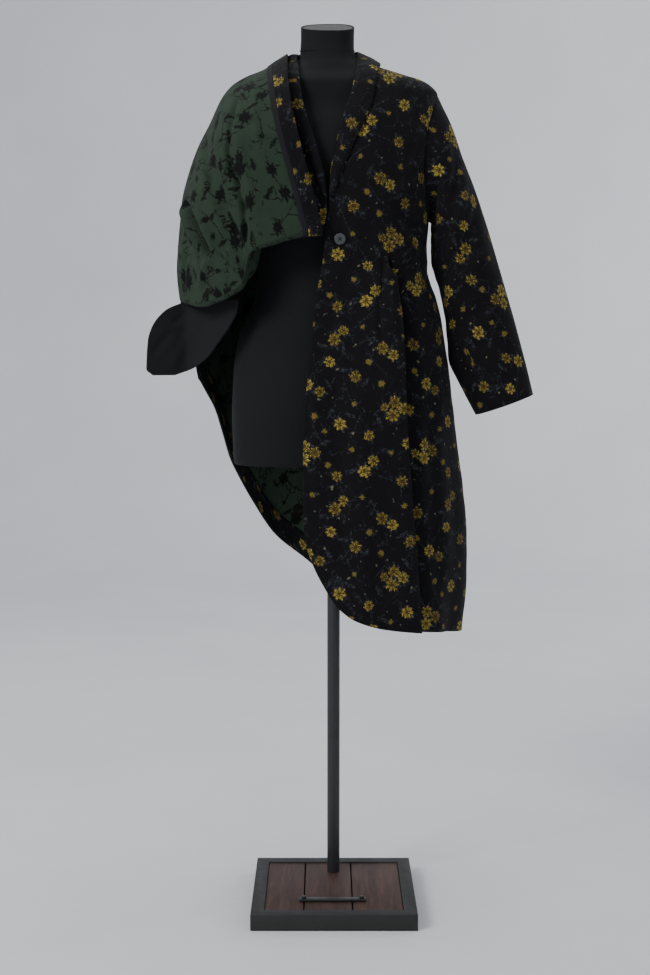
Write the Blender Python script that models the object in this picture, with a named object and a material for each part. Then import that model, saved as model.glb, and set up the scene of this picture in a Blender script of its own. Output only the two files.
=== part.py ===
"""A long flowered coat buttoned on a dress form, its right front thrown up over the shoulder.

Metres, +Z up, +X is the wearer's left and -Y the front. The origin is on the floor under the pole.
"""

import math

import bmesh
import bpy
import numpy as np
from mathutils import Matrix

# Cloth
WALL = 0.0020
SEAM = 0.0006
LAY = 0.0004
FACING_WALL = 0.0010
BAG_WALL = 0.0030
SQUARENESS = 2.3

# Heights that the panels share
HEM_Z = 0.509
ARMPIT_Z = 1.270
SHOULDER_Z = 1.4985
NECK_Z = 1.560
FRONT_LEVEL_Z = 0.826
RIGHT_SEAM_END_Z = 1.130
SKIRT_ROWS = 12
YOKE_HEIGHTS = (1.293, 1.330, 1.370, 1.410, 1.450, 1.478, SHOULDER_Z)
SHOULDER_HEIGHTS = (1.5135, 1.5211, 1.5299, 1.5389, 1.547, NECK_Z)
ARMHOLE_TURN = math.radians(28)
BACK_COLUMNS = 27
# How wide each panel is where its seams are, which turns their gap into a share of it
BACK_LENGTH, LEFT_LENGTH, RIGHT_LENGTH = 0.42, 0.42, 0.25

# The coat's outer face: height, half width on the left, half width on the right, depth in front, depth behind
SECTIONS = np.array([
    (0.509, 0.2370, 0.215, 0.198, 0.192),
    (0.595, 0.2450, 0.220, 0.192, 0.187),
    (0.683, 0.2460, 0.222, 0.186, 0.182),
    (0.771, 0.2390, 0.225, 0.180, 0.176),
    (0.882, 0.2260, 0.238, 0.170, 0.167),
    (0.945, 0.2190, 0.248, 0.163, 0.160),
    (1.003, 0.2135, 0.259, 0.156, 0.154),
    (1.055, 0.2050, 0.267, 0.149, 0.148),
    (1.085, 0.2007, 0.271, 0.145, 0.144),
    (1.130, 0.1900, 0.272, 0.140, 0.138),
    (1.152, 0.1810, 0.238, 0.139, 0.135),
    (1.180, 0.1740, 0.200, 0.137, 0.132),
    (1.225, 0.1730, 0.182, 0.138, 0.129),
    (1.270, 0.1760, 0.178, 0.139, 0.129),
    (1.350, 0.1800, 0.180, 0.137, 0.130),
    (1.430, 0.1860, 0.186, 0.123, 0.125),
    (1.4985, 0.1914, 0.190, 0.098, 0.112),
    (1.5135, 0.1791, 0.179, 0.090, 0.105),
    (1.5211, 0.1669, 0.164, 0.085, 0.100),
    (1.5299, 0.1363, 0.137, 0.076, 0.094),
    (1.5389, 0.1088, 0.108, 0.068, 0.088),
    (1.547, 0.0840, 0.087, 0.060, 0.083),
    (1.560, 0.0640, 0.071, 0.050, 0.076),
])

# Left front: height and X of its front edge, which becomes the left side of the V neck
LEFT_EDGE = np.array([
    (0.500, -0.0550), (0.831, -0.0550), (0.911, -0.0535), (0.974, -0.0480), (1.058, -0.0390),
    (1.128, -0.0320), (1.184, -0.0210), (1.235, -0.0166), (1.290, -0.0090), (1.337, -0.0075),
    (1.431, 0.0114), (1.493, 0.0307), (1.535, 0.0396), (1.560, 0.0405),
])
# Right front: height and X of its edge, the other side of the V neck
RIGHT_EDGE = np.array([
    (1.236, -0.0205), (1.287, -0.0125), (1.331, -0.0160), (1.386, -0.0290), (1.4585, -0.0520),
    (1.516, -0.0610), (1.560, -0.0640),
])
# Rounded lower corner of the left front: X and height of the hem
FRONT_HEM = np.array([
    (-0.0550, 0.745), (-0.0510, 0.695), (-0.0440, 0.668), (-0.0240, 0.624), (0.0085, 0.575),
    (0.0390, 0.553), (0.0850, 0.538), (0.1410, 0.529), (0.2000, 0.520), (0.2370, HEM_Z),
])
# Lifted hem of the back: X and height
BACK_HEM = np.array([
    (-0.2720, RIGHT_SEAM_END_Z), (-0.2660, 1.060), (-0.2570, 1.002), (-0.2470, 0.970),
    (-0.2220, 0.915), (-0.2100, 0.868), (-0.1980, 0.818), (-0.1640, 0.737), (-0.1140, 0.663),
    (-0.0580, 0.614), (0.0000, 0.568), (0.0700, 0.535), (0.1500, 0.515), (0.2370, HEM_Z),
])
# Released pleat of the left front: height, X of its fold, how far the fold stands out
PLEAT = np.array([
    (0.500, 0.1520, 0.012), (0.661, 0.1400, 0.015), (0.8745, 0.1237, 0.017), (1.0685, 0.1150, 0.019),
    (1.150, 0.1060, 0.016), (1.195, 0.0930, 0.003), (1.250, 0.0900, 0.000), (1.560, 0.0520, 0.000),
])
# Soft waves of the skirt towards the hem: share of the panel and how far out
BACK_WAVES = np.array([
    (0.00, 0.000), (0.10, 0.008), (0.22, -0.006), (0.36, 0.009), (0.50, -0.008), (0.63, 0.007),
    (0.76, -0.007), (0.88, 0.005), (1.00, 0.000),
])
FRONT_WAVES = np.array([
    (0.00, 0.000), (0.12, 0.007), (0.25, -0.005), (0.34, 0.000), (0.46, 0.000), (0.60, -0.002),
    (0.74, 0.004), (0.88, -0.002), (1.00, 0.000),
])
WAVES_TOP_Z, WAVES_LENGTH = 1.180, 0.500
PLEAT_SHARE = 0.46
PLEAT_STEP = 0.05
PLEAT_HOLLOW = 0.55
PLEAT_SPREAD = 0.22
PLEAT_FADE = 0.6

# Where the right front folds upwards, from its edge round to the side: X, Y, Z of the lowest line
FOLD = np.array([
    (-0.0205, -0.155, 1.2350), (-0.0430, -0.158, 1.2325), (-0.0780, -0.160, 1.2255),
    (-0.1130, -0.158, 1.2150), (-0.1340, -0.154, 1.2090), (-0.1486, -0.148, 1.1930),
    (-0.1545, -0.145, 1.1690), (-0.1620, -0.141, 1.1430), (-0.1800, -0.133, 1.1310),
    (-0.2020, -0.121, 1.1200), (-0.2370, -0.095, 1.1100), (-0.2620, -0.060, 1.1140),
    (-0.2790, -0.025, 1.1210), (-0.2810, -0.003, 1.1240),
])
FOLD_RADIUS = 0.0065
# Its highest line over the shoulder and down the side: X, Y, Z
RIDGE = np.array([
    (-0.0850, 0.000, 1.5740), (-0.0960, 0.000, 1.5670), (-0.1120, 0.000, 1.5570),
    (-0.1290, 0.000, 1.5460), (-0.1600, 0.002, 1.5340), (-0.1860, 0.004, 1.5190),
    (-0.2060, 0.006, 1.4960), (-0.2290, 0.008, 1.4500), (-0.2510, 0.010, 1.4080),
    (-0.2680, 0.012, 1.3630), (-0.2830, 0.014, 1.3060), (-0.2880, 0.016, 1.2500),
    (-0.2920, 0.016, 1.1700),
])
# Where it ends behind the shoulder: X, Y, Z of the hem
THROWN_HEM = np.array([
    (-0.0950, 0.172, 1.0500), (-0.1350, 0.196, 1.0450), (-0.1800, 0.220, 1.0550),
    (-0.2250, 0.232, 1.0750), (-0.2620, 0.218, 1.0920), (-0.2850, 0.160, 1.1020),
    (-0.2920, 0.100, 1.1100), (-0.2900, 0.040, 1.1180),
])
# Soft creases of the thrown layer: share, how far out in front, how far out at the hem behind
CREASES = np.array([
    (0.00, 0.000, 0.000), (0.13, 0.001, 0.004), (0.27, 0.004, -0.006), (0.35, 0.001, 0.000),
    (0.43, -0.008, 0.009), (0.51, 0.003, 0.002), (0.59, 0.004, -0.008), (0.67, 0.000, 0.000),
    (0.75, -0.007, 0.008), (0.83, 0.002, 0.000), (0.91, 0.002, -0.004), (1.00, 0.000, 0.000),
])
EDGE_BOW, EDGE_BOW_LOW = 0.011, 1.6
# How full the thrown layer is: its rise, its swell in front, its drop and its swell behind
CLIMB_ROUNDS = 1.15
SWELL_STEEP, SWELL_SOFT = 3.6, 0.78
DROP_ROUNDS = 1.7
BEHIND_STEEP, BEHIND_SOFT = 3.0, 0.6
THROWN_SHARES = (0, 0.065, 0.13, 0.2, 0.27, 0.35, 0.43, 0.51, 0.59, 0.67, 0.75, 0.83, 0.91, 0.96, 1)
FACING_COLUMNS = 3
UNDER_ROWS = 4
TURN_ROWS = 4
CLIMB_ROWS = 9
DROP_ROWS = 9

# Sleeves, on the outer face: X and Z of the upper edge, of the lower edge, Y of the middle, half depth
LEFT_SLEEVE = np.array([
    (0.2070, 1.4685, 0.1815, 1.262, -0.002, 0.066), (0.2226, 1.4320, 0.1805, 1.243, -0.004, 0.066),
    (0.2350, 1.3960, 0.1800, 1.220, -0.006, 0.065), (0.2480, 1.3630, 0.1800, 1.196, -0.008, 0.063),
    (0.2600, 1.3330, 0.1860, 1.172, -0.010, 0.061), (0.2730, 1.2960, 0.1940, 1.148, -0.012, 0.059),
    (0.2860, 1.2570, 0.2010, 1.115, -0.014, 0.057), (0.3020, 1.2050, 0.2065, 1.085, -0.016, 0.055),
    (0.3210, 1.1420, 0.2095, 1.050, -0.018, 0.053), (0.3340, 1.0990, 0.2145, 1.018, -0.020, 0.051),
    (0.3470, 1.0520, 0.2235, 0.988, -0.022, 0.050), (0.3600, 1.0030, 0.2400, 0.955, -0.024, 0.048),
    (0.3730, 0.9515, 0.2625, 0.912, -0.026, 0.047),
])
RIGHT_SLEEVE = np.array([
    (-0.2040, 1.4620, -0.1815, 1.262, 0.004, 0.060), (-0.2160, 1.4250, -0.1815, 1.243, 0.012, 0.058),
    (-0.2280, 1.3880, -0.1830, 1.225, 0.028, 0.055), (-0.2390, 1.3500, -0.1860, 1.200, 0.052, 0.053),
    (-0.2480, 1.3100, -0.1900, 1.170, 0.084, 0.050), (-0.2540, 1.2650, -0.1910, 1.140, 0.122, 0.047),
    (-0.2570, 1.2200, -0.1880, 1.110, 0.151, 0.045), (-0.2580, 1.1700, -0.1820, 1.080, 0.165, 0.044),
    (-0.2560, 1.1200, -0.1740, 1.045, 0.173, 0.043), (-0.2520, 1.0700, -0.1660, 1.010, 0.179, 0.042),
    (-0.2460, 1.0200, -0.1580, 0.975, 0.184, 0.041), (-0.2400, 0.9750, -0.1500, 0.940, 0.186, 0.040),
    (-0.2340, 0.9350, -0.1420, 0.908, 0.190, 0.039),
])

# Shawl collar on the fronts: X and Z of the roll, X and Z of the outer edge
LEFT_COLLAR = np.array([
    (-0.0075, 1.300, 0.0000, 1.312), (-0.0060, 1.337, 0.0130, 1.350), (0.0035, 1.385, 0.0330, 1.395),
    (0.0125, 1.431, 0.0550, 1.440), (0.0225, 1.463, 0.0650, 1.466), (0.0315, 1.493, 0.0715, 1.495),
    (0.0400, 1.535, 0.0760, 1.524), (0.0415, 1.558, 0.0800, 1.539),
])
RIGHT_COLLAR = np.array([
    (-0.0140, 1.300, -0.0205, 1.310), (-0.0180, 1.337, -0.0330, 1.347), (-0.0300, 1.386, -0.0540, 1.395),
    (-0.0430, 1.431, -0.0730, 1.440), (-0.0530, 1.463, -0.0830, 1.466), (-0.0590, 1.493, -0.0880, 1.495),
    (-0.0635, 1.535, -0.0950, 1.524), (-0.0650, 1.556, -0.1000, 1.538),
])
# Behind the neck: X, Y, Z of the roll, then of the outer edge
NECK_COLLAR = np.array([
    (0.0425, -0.020, 1.5705, 0.0840, -0.018, 1.5530), (0.0430, 0.000, 1.5770, 0.0850, 0.012, 1.5540),
    (0.0390, 0.035, 1.5830, 0.0790, 0.057, 1.5580), (0.0180, 0.060, 1.5880, 0.0450, 0.095, 1.5600),
    (-0.0120, 0.068, 1.5900, -0.0120, 0.106, 1.5600), (-0.0430, 0.060, 1.5860, -0.0680, 0.093, 1.5560),
    (-0.0640, 0.035, 1.5780, -0.0890, 0.055, 1.5490), (-0.0675, 0.000, 1.5720, -0.0960, 0.012, 1.5485),
    (-0.0670, -0.020, 1.5660, -0.0970, -0.018, 1.5470),
])
COLLAR_CROSS = (0, 0.12, 0.4, 0.7, 1)
COLLAR_CROWN = 0.003
COLLAR_LIFT = 0.0020
COLLAR_ROWS = 15

# Pocket bag that hangs out: height, X of its left edge, X of its right edge
POCKET_BAG = np.array([
    (1.124, -0.2690, -0.1730), (1.114, -0.2960, -0.1735), (1.106, -0.3110, -0.1740),
    (1.0785, -0.3340, -0.1870), (1.051, -0.3430, -0.2080), (1.018, -0.3455, -0.2350),
    (0.998, -0.3465, -0.2650), (0.986, -0.3350, -0.2950),
])
# Its depth across: X and Y
POCKET_DEPTH = np.array([
    (-0.3500, -0.0407), (-0.3000, -0.0267), (-0.2750, -0.0187), (-0.2500, -0.0407), (-0.2200, -0.0687),
    (-0.1900, -0.0947), (-0.1650, -0.1067),
])

# Back hem facing: its first column, how high each row stands over the hem, how far it is from the panel
FACING_FROM = 11
FACING_RISES = (0.002, 0.026, 0.050)
FACING_NARROWS_FROM, FACING_NARROW = 0.9, 0.6
HEM_FACING_OUT = -0.0012

# Button
BUTTON_X, BUTTON_Z = 0.010, 1.229
BUTTON_RADIUS = 0.010
BUTTON_THICK = 0.0030
BUTTON_HOLE_RADIUS = 0.0011
BUTTON_HOLE_RING = 0.0026
BUTTON_ROUND = 0.0008

# Dress form: height, half width on the left, on the right, depth in front, depth behind
FORM = np.array([
    (0.820, 0.182, 0.186, 0.116, 0.123), (0.826, 0.185, 0.188, 0.119, 0.126),
    (0.874, 0.187, 0.190, 0.123, 0.130), (0.918, 0.188, 0.191, 0.125, 0.133),
    (0.961, 0.186, 0.189, 0.122, 0.131), (1.004, 0.183, 0.187, 0.118, 0.127),
    (1.0325, 0.178, 0.182, 0.113, 0.122), (1.064, 0.170, 0.175, 0.108, 0.116),
    (1.089, 0.159, 0.1635, 0.104, 0.111), (1.115, 0.148, 0.152, 0.101, 0.106),
    (1.146, 0.139, 0.143, 0.099, 0.101), (1.180, 0.135, 0.1395, 0.099, 0.098),
    (1.220, 0.140, 0.143, 0.104, 0.099), (1.270, 0.149, 0.151, 0.114, 0.103),
    (1.330, 0.160, 0.161, 0.121, 0.108), (1.390, 0.166, 0.167, 0.117, 0.111),
    (1.440, 0.172, 0.172, 0.103, 0.107), (1.480, 0.175, 0.175, 0.085, 0.099),
])
SHOULDER_REST = 0.0006
FORM_CLEAR = 0.0045
NECK = np.array([
    (1.550, 0.0640, 0.0740, 0.056, 0.075), (1.560, 0.0480, 0.0650, 0.049, 0.066),
    (1.572, 0.0395, 0.0620, 0.046, 0.060), (1.585, 0.0370, 0.0615, 0.044, 0.055),
    (1.600, 0.0370, 0.0605, 0.043, 0.052), (1.6225, 0.0375, 0.0605, 0.043, 0.052),
])
NECK_TILT = 0.33
NECK_RIM = 0.0030
NECK_RECESS = 0.0040
CAP_THICK = 0.0030
FORM_SIDES = 32

# Stand
POLE_RADIUS = 0.0120
BASE_SIDE = 0.300
BASE_HEIGHT = 0.030
BASE_Y = -0.082
BASE_RIM = 0.024
BASE_FLOOR = 0.003
PLANK_TOP = 0.0275
PLANK_EDGES = (-0.126, -0.0544, 0.0338, 0.126)
PLANK_GAP = 0.0022
GAP = 0.0003
BAR_X = (-0.063, 0.059)
BAR_Y, BAR_WIDTH, BAR_THICK = -0.158, 0.014, 0.005
BOLT_INSET, BOLT_RADIUS, BOLT_HEIGHT = 0.008, 0.005, 0.004


def along(where, table):
    """The table's other columns at this value of its first, on a smooth curve through its rows."""
    knots, values = table[:, 0], table[:, 1:]
    steps = np.diff(knots)[:, None]
    slopes = np.diff(values, axis=0) / steps
    tangents = np.zeros_like(values)
    same = slopes[:-1] * slopes[1:] > 0
    ahead, behind = steps[1:] + 2 * steps[:-1], 2 * steps[1:] + steps[:-1]
    safe = np.where(same, slopes[:-1] * slopes[1:], 1)
    blended = (ahead + behind) * safe / (ahead * slopes[1:] + behind * slopes[:-1] + (~same))
    tangents[1:-1] = np.where(same, blended, 0)
    tangents[0], tangents[-1] = slopes[0], slopes[-1]
    where = min(max(where, knots[0]), knots[-1])
    i = int(np.clip(np.searchsorted(knots, where) - 1, 0, len(knots) - 2))
    step = knots[i + 1] - knots[i]
    t = (where - knots[i]) / step
    near, far = values[i], values[i + 1]
    return (
        near * (1 + 2 * t) * (1 - t) ** 2
        + far * t * t * (3 - 2 * t)
        + step * (tangents[i] * t * (1 - t) ** 2 - tangents[i + 1] * t * t * (1 - t))
    )


def share_of(points, share):
    """The point this share of the way along a line of points, on a smooth curve through them."""
    lengths = np.concatenate([[0], np.cumsum(np.linalg.norm(np.diff(points, axis=0), axis=1))])
    return along(share, np.column_stack([lengths / lengths[-1], points]))


def ease(t):
    t = min(max(t, 0.0), 1.0)
    return t * t * (3 - 2 * t)


def body(z, turn):
    """The coat's inner face: turn 0 is the wearer's left side, 90 degrees the back, -90 the front."""
    left, right, front, back = along(z, SECTIONS) - WALL
    across, deep = math.cos(turn), math.sin(turn)
    wide = left if across >= 0 else right
    depth = back if deep >= 0 else front
    power = 2 / SQUARENESS
    return np.array([
        wide * math.copysign(abs(across) ** power, across),
        depth * math.copysign(abs(deep) ** power, deep),
        z,
    ])


def outward(z, turn):
    """The direction straight out of the coat's body."""
    step = 1e-3
    low, high = max(z - step, HEM_Z), min(z + step, NECK_Z)
    side = body(z, turn + step) - body(z, turn - step)
    rise = body(high, turn) - body(low, turn)
    normal = np.cross(side, rise)
    return normal / np.linalg.norm(normal)


def turn_of_x(z, x):
    """The turn, on the front, of the point of this X."""
    left, right = along(z, SECTIONS)[:2] - WALL
    wide = left if x >= 0 else right
    part = min(abs(x) / wide, 1.0) ** (SQUARENESS / 2)
    return -math.acos(math.copysign(part, x))


def turn_between(z, start, stop, share):
    """The turn this share of the way from start to stop, measured along the cloth."""
    turns = np.linspace(start, stop, 41)
    points = np.array([body(z, turn) for turn in turns])
    lengths = np.concatenate([[0], np.cumsum(np.linalg.norm(np.diff(points, axis=0), axis=1))])
    return np.interp(share * lengths[-1], lengths, turns)


def armhole(z):
    """How far round the armhole cuts into the body at this height."""
    middle, half = (SHOULDER_Z + ARMPIT_Z) / 2, (SHOULDER_Z - ARMPIT_Z) / 2
    return ARMHOLE_TURN * math.sqrt(max(0.0, 1 - ((z - middle) / half) ** 2))


def hem_fall(z, level, hem):
    """The height z moved down or up so that the cloth between level and HEM_Z ends at hem."""
    if z >= level:
        return z
    return level - (level - hem) * (level - z) / (level - HEM_Z)


def back_shares():
    """The columns' shares of the back, with the seam's gap kept at both sides."""
    edge = SEAM / 2 / BACK_LENGTH
    return [edge + (1 - 2 * edge) * column / (BACK_COLUMNS - 1) for column in range(BACK_COLUMNS)]


def back_point(share, z, out=0.0):
    """Back panel: share 0 is the left side seam, 1 the right."""
    start, stop = armhole(z), math.pi - armhole(z)
    x = body(z, turn_between(z, start, stop, share))[0]
    for _ in range(3):
        height = hem_fall(z, ARMPIT_Z, along(x, BACK_HEM)[0])
        turn = turn_between(height, armhole(height), math.pi - armhole(height), share)
        x = body(height, turn)[0]
    wave = skirt_wave(BACK_WAVES, share, height)
    return body(height, turn) + (out + wave) * outward(height, turn)


def skirt_wave(table, share, z):
    return along(share, table)[0] * ease((WAVES_TOP_Z - z) / WAVES_LENGTH)


def pleat_out(share, z):
    """How far the pleat pushes the left front in or out."""
    depth = along(z, PLEAT)[1]
    past = (share - PLEAT_SHARE) / (1 - PLEAT_SHARE)
    before = (PLEAT_SHARE - share) / PLEAT_SHARE
    if past >= 0:
        return depth * (1 - ease(past / PLEAT_FADE))
    if before <= PLEAT_STEP:
        return depth * (1 - (1 + PLEAT_HOLLOW) * before / PLEAT_STEP)
    return -depth * PLEAT_HOLLOW * (1 - ease((before - PLEAT_STEP) / PLEAT_SPREAD))


def left_front_point(share, z):
    """Left front: share 0 is the side seam, PLEAT_SHARE the pleat's fold, 1 the front edge."""

    def turn(height):
        side = -armhole(height)
        fold = turn_of_x(height, along(height, PLEAT)[0])
        edge = turn_of_x(height, along(height, LEFT_EDGE)[0])
        if share <= PLEAT_SHARE:
            return turn_between(height, side, fold, share / PLEAT_SHARE)
        return turn_between(height, fold, edge, (share - PLEAT_SHARE) / (1 - PLEAT_SHARE))

    height = z
    for _ in range(4):
        x = body(height, turn(height))[0]
        height = hem_fall(z, FRONT_LEVEL_Z, along(x, FRONT_HEM)[0])
    round_ = turn(height)
    wave = pleat_out(share, height) + skirt_wave(FRONT_WAVES, share, height)
    return body(height, round_) + wave * outward(height, round_)


def right_front_turn(share, z):
    """The turn on the worn layer of the right front: share 0 is the front edge, 1 the side."""
    edge = turn_of_x(z, along(z, RIGHT_EDGE)[0])
    return turn_between(z, edge, -math.pi + armhole(z), share)


def fold_centre(share):
    """Middle of the fold's round, and the level direction out of it."""
    lowest = share_of(FOLD, share)
    turn = right_front_turn(share, RIGHT_EDGE[0, 0])
    out = outward(ARMPIT_Z, turn) * (1, 1, 0)
    return lowest + (0, 0, FOLD_RADIUS), out / np.linalg.norm(out)


def thrown_point(share, climb):
    """The layer thrown up: climb 0 is the fold, 1 the ridge over the shoulder, 2 the hem behind."""
    centre, out = fold_centre(share)
    foot, ridge = centre + FOLD_RADIUS * out, share_of(RIDGE, share)
    if climb <= 1:
        rise = 1 - (1 - climb) ** CLIMB_ROUNDS
        point = foot + (ridge - foot) * rise
        point[1] = ridge[1] + (foot[1] - ridge[1]) * (1 - climb ** SWELL_STEEP) ** SWELL_SOFT
        point[0] -= EDGE_BOW * (1 - share) ** 2 * math.sin(math.pi * rise ** EDGE_BOW_LOW)
        return point + along(share, CREASES)[0] * math.sin(math.pi * climb) * out
    hem, drop = share_of(THROWN_HEM, share), climb - 1
    point = ridge + (hem - ridge) * drop ** DROP_ROUNDS
    point[1] = ridge[1] + (hem[1] - ridge[1]) * (1 - (1 - drop) ** BEHIND_STEEP) ** BEHIND_SOFT
    point[1] += along(share, CREASES)[1] * ease(drop)
    return point


def right_front_column(share, side_gap):
    """One column of the right front, from the neck down, round the fold, up, over and down behind."""
    worn = []
    for z in reversed((ARMPIT_Z,) + YOKE_HEIGHTS + SHOULDER_HEIGHTS):
        worn.append(body(z, right_front_turn(side_gap, z)))
    centre, out = fold_centre(share)
    start = centre - FOLD_RADIUS * out
    last_turn = right_front_turn(side_gap, start[2])
    shift = start - body(start[2], last_turn)
    for step in range(1, UNDER_ROWS + 1):
        part = step / UNDER_ROWS
        z = ARMPIT_Z + (start[2] - ARMPIT_Z) * part
        worn.append(body(z, right_front_turn(side_gap, z)) + shift * ease(part))
    for step in range(1, TURN_ROWS):
        swing = math.pi * step / TURN_ROWS
        worn.append(centre + FOLD_RADIUS * (-math.cos(swing) * out + np.array([0, 0, -math.sin(swing)])))
    climbs = np.concatenate([
        np.linspace(0, 1, CLIMB_ROWS, endpoint=False),
        1 + np.linspace(0, 1, DROP_ROWS + 1),
    ])
    return worn, [thrown_point(share, climb) for climb in climbs]


def material(name, colour, roughness, metallic=0.0):
    made = bpy.data.materials.new(name)
    made.use_nodes = True
    shader = made.node_tree.nodes["Principled BSDF"]
    shader.inputs["Base Color"].default_value = (*colour, 1)
    shader.inputs["Roughness"].default_value = roughness
    shader.inputs["Metallic"].default_value = metallic
    return made


def placed(name, bm, finish, smooth=True):
    mesh = bpy.data.meshes.new(name)
    bm.to_mesh(mesh)
    bm.free()
    mesh.materials.append(finish)
    if smooth:
        mesh.shade_smooth()
    made = bpy.data.objects.new(name, mesh)
    bpy.context.scene.collection.objects.link(made)
    return made


def grid_mesh(rows, closed=False):
    """A sheet of quads through rows of points; the last column joins the first where it is closed."""
    rows = np.asarray(rows, dtype=float)
    if closed:
        rows = np.concatenate([rows, rows[:, :1]], axis=1)
    count, columns = rows.shape[:2]
    bm = bmesh.new()
    bmesh.ops.create_grid(bm, x_segments=columns - 1, y_segments=count - 1, size=1)
    for vert, point in zip(bm.verts, rows.reshape(-1, 3)):
        vert.co = point
    if closed:
        bmesh.ops.remove_doubles(bm, verts=bm.verts, dist=1e-6)
    return bm


def cloth(name, rows, finish, thick=WALL, side=1, closed=False):
    """A wall of cloth that grows from the rows of points, outwards where side is 1."""
    made = placed(name, grid_mesh(rows, closed), finish)
    wall = made.modifiers.new("Wall", "SOLIDIFY")
    wall.thickness = thick
    wall.offset = side
    wall.use_even_offset = False
    return made


def skirt_heights():
    return [HEM_Z + (ARMPIT_Z - HEM_Z) * row / SKIRT_ROWS for row in range(SKIRT_ROWS)]


def panel_heights():
    return skirt_heights() + [ARMPIT_Z] + list(YOKE_HEIGHTS) + list(SHOULDER_HEIGHTS)


def back_panel(finish):
    rows = [[back_point(share, z) for share in back_shares()] for z in panel_heights()]
    return cloth("back", rows, finish)


def left_front_panel(finish):
    """Its columns crowd at the pleat, so that the step stays sharp."""
    side = np.linspace(0, PLEAT_SHARE * (1 - PLEAT_STEP), 9)
    front = np.linspace(PLEAT_SHARE, 1, 13)
    edge = SEAM / 2 / LEFT_LENGTH
    shares = [edge + (1 - edge) * share for share in np.concatenate([side, front])]
    rows = [[left_front_point(share, z) for share in reversed(shares)] for z in panel_heights()]
    return cloth("left_front", rows, finish)


def right_front_panel(finish):
    """Builds the panel, and returns the rows of its thrown layer for what lies on it."""
    edge = SEAM / 2 / RIGHT_LENGTH
    columns = [right_front_column(share, share * (1 - edge)) for share in THROWN_SHARES]
    whole = [worn + thrown for worn, thrown in columns]
    rows = np.array(whole).transpose(1, 0, 2)
    thrown_rows = np.array([thrown for _, thrown in columns]).transpose(1, 0, 2)
    cloth("right_front", rows[::-1, ::-1], finish)
    return thrown_rows


def armhole_ring(side):
    """Points round the armhole, down its front and up its back, outside the panels' wall."""
    heights = [ARMPIT_Z] + list(YOKE_HEIGHTS)
    lift = WALL + LAY
    ring = []
    for z in reversed(heights):
        turn = -armhole(z) if side > 0 else -math.pi + armhole(z)
        ring.append(body(z, turn) + lift * outward(z, turn))
    for z in heights[1:-1]:
        turn = armhole(z) if side > 0 else math.pi - armhole(z)
        ring.append(body(z, turn) + lift * outward(z, turn))
    return ring


def sleeve(name, side, table, finish):
    first = armhole_ring(side)
    rings = [first]
    for top_x, top_z, low_x, low_z, y, deep in table:
        top, low = np.array([top_x, y, top_z]), np.array([low_x, y, low_z])
        middle, half = (top + low) / 2, (top - low) / 2
        half *= 1 - WALL / np.linalg.norm(half)
        ring = []
        for step in range(len(first)):
            swing = 2 * math.pi * step / len(first)
            ring.append(middle + half * math.cos(swing) + np.array([0, -(deep - WALL) * math.sin(swing), 0]))
        rings.append(ring)
    return cloth(name, rings, finish, side=-side, closed=True)


def collar(finish):
    """A strip whose inner edge is the roll, laid on the fronts and standing round the neck."""
    lift = WALL + COLLAR_LIFT
    lines = []

    def on_front(x, z, extra):
        turn = turn_of_x(z, x)
        return body(z, turn) + (lift + extra) * outward(z, turn)

    for table in (LEFT_COLLAR, RIGHT_COLLAR):
        side = []
        for step in range(COLLAR_ROWS):
            roll_x, roll_z, edge_x, edge_z = share_of(table, step / (COLLAR_ROWS - 1))
            line = []
            for part in COLLAR_CROSS:
                x, z = roll_x + (edge_x - roll_x) * part, roll_z + (edge_z - roll_z) * part
                line.append(on_front(x, z, COLLAR_CROWN * math.sin(math.pi * part)))
            side.append(line)
        lines.append(side)
    behind = []
    for row in NECK_COLLAR:
        roll, edge = row[:3], row[3:]
        line = []
        for part in COLLAR_CROSS:
            point = roll + (edge - roll) * part
            point[2] += COLLAR_CROWN * math.sin(math.pi * part)
            line.append(point)
        behind.append(line)
    strip = lines[0] + behind + lines[1][::-1]
    return cloth("collar", strip, finish, side=1)


def front_facing(thrown_rows, finish):
    """The band along the right front's edge: it lies on the wrong side, which the throw shows."""
    lifted = grid_mesh(thrown_rows[::-1, ::-1])
    lifted.normal_update()
    lifted.verts.ensure_lookup_table()
    rows, columns = thrown_rows.shape[:2]
    points = np.array([vert.co - vert.normal * LAY for vert in lifted.verts]).reshape(rows, columns, 3)
    lifted.free()
    return cloth("front_facing", points[:, -FACING_COLUMNS:], finish, thick=FACING_WALL, side=-1)


def back_hem_facing(finish):
    """The band inside the back's lifted hem."""
    rows = []
    for rise in FACING_RISES:
        row = []
        for share in back_shares()[FACING_FROM:]:
            low = back_point(share, HEM_Z)
            height = low[2] + rise * (1 if share < FACING_NARROWS_FROM else FACING_NARROW)
            z = ARMPIT_Z - (ARMPIT_Z - HEM_Z) * (ARMPIT_Z - height) / (ARMPIT_Z - low[2])
            row.append(back_point(share, z, out=HEM_FACING_OUT))
        rows.append(row)
    return cloth("back_hem_facing", rows, finish, thick=FACING_WALL, side=-1)


def pocket_bag(finish):
    rows = []
    for z, left, right in POCKET_BAG[::-1]:
        row = []
        for share in np.linspace(0, 1, 9):
            x = left + (right - left) * share
            row.append(np.array([x, along(x, POCKET_DEPTH)[0], z]))
        rows.append(row)
    return cloth("pocket_bag", rows, finish, thick=BAG_WALL, side=-1)


def cylinder(radius, low, high, segments=32):
    bm = bmesh.new()
    bmesh.ops.create_cone(
        bm, cap_ends=True, segments=segments, radius1=radius, radius2=radius, depth=high - low
    )
    bmesh.ops.translate(bm, verts=bm.verts, vec=(0, 0, (low + high) / 2))
    return bm


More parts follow.
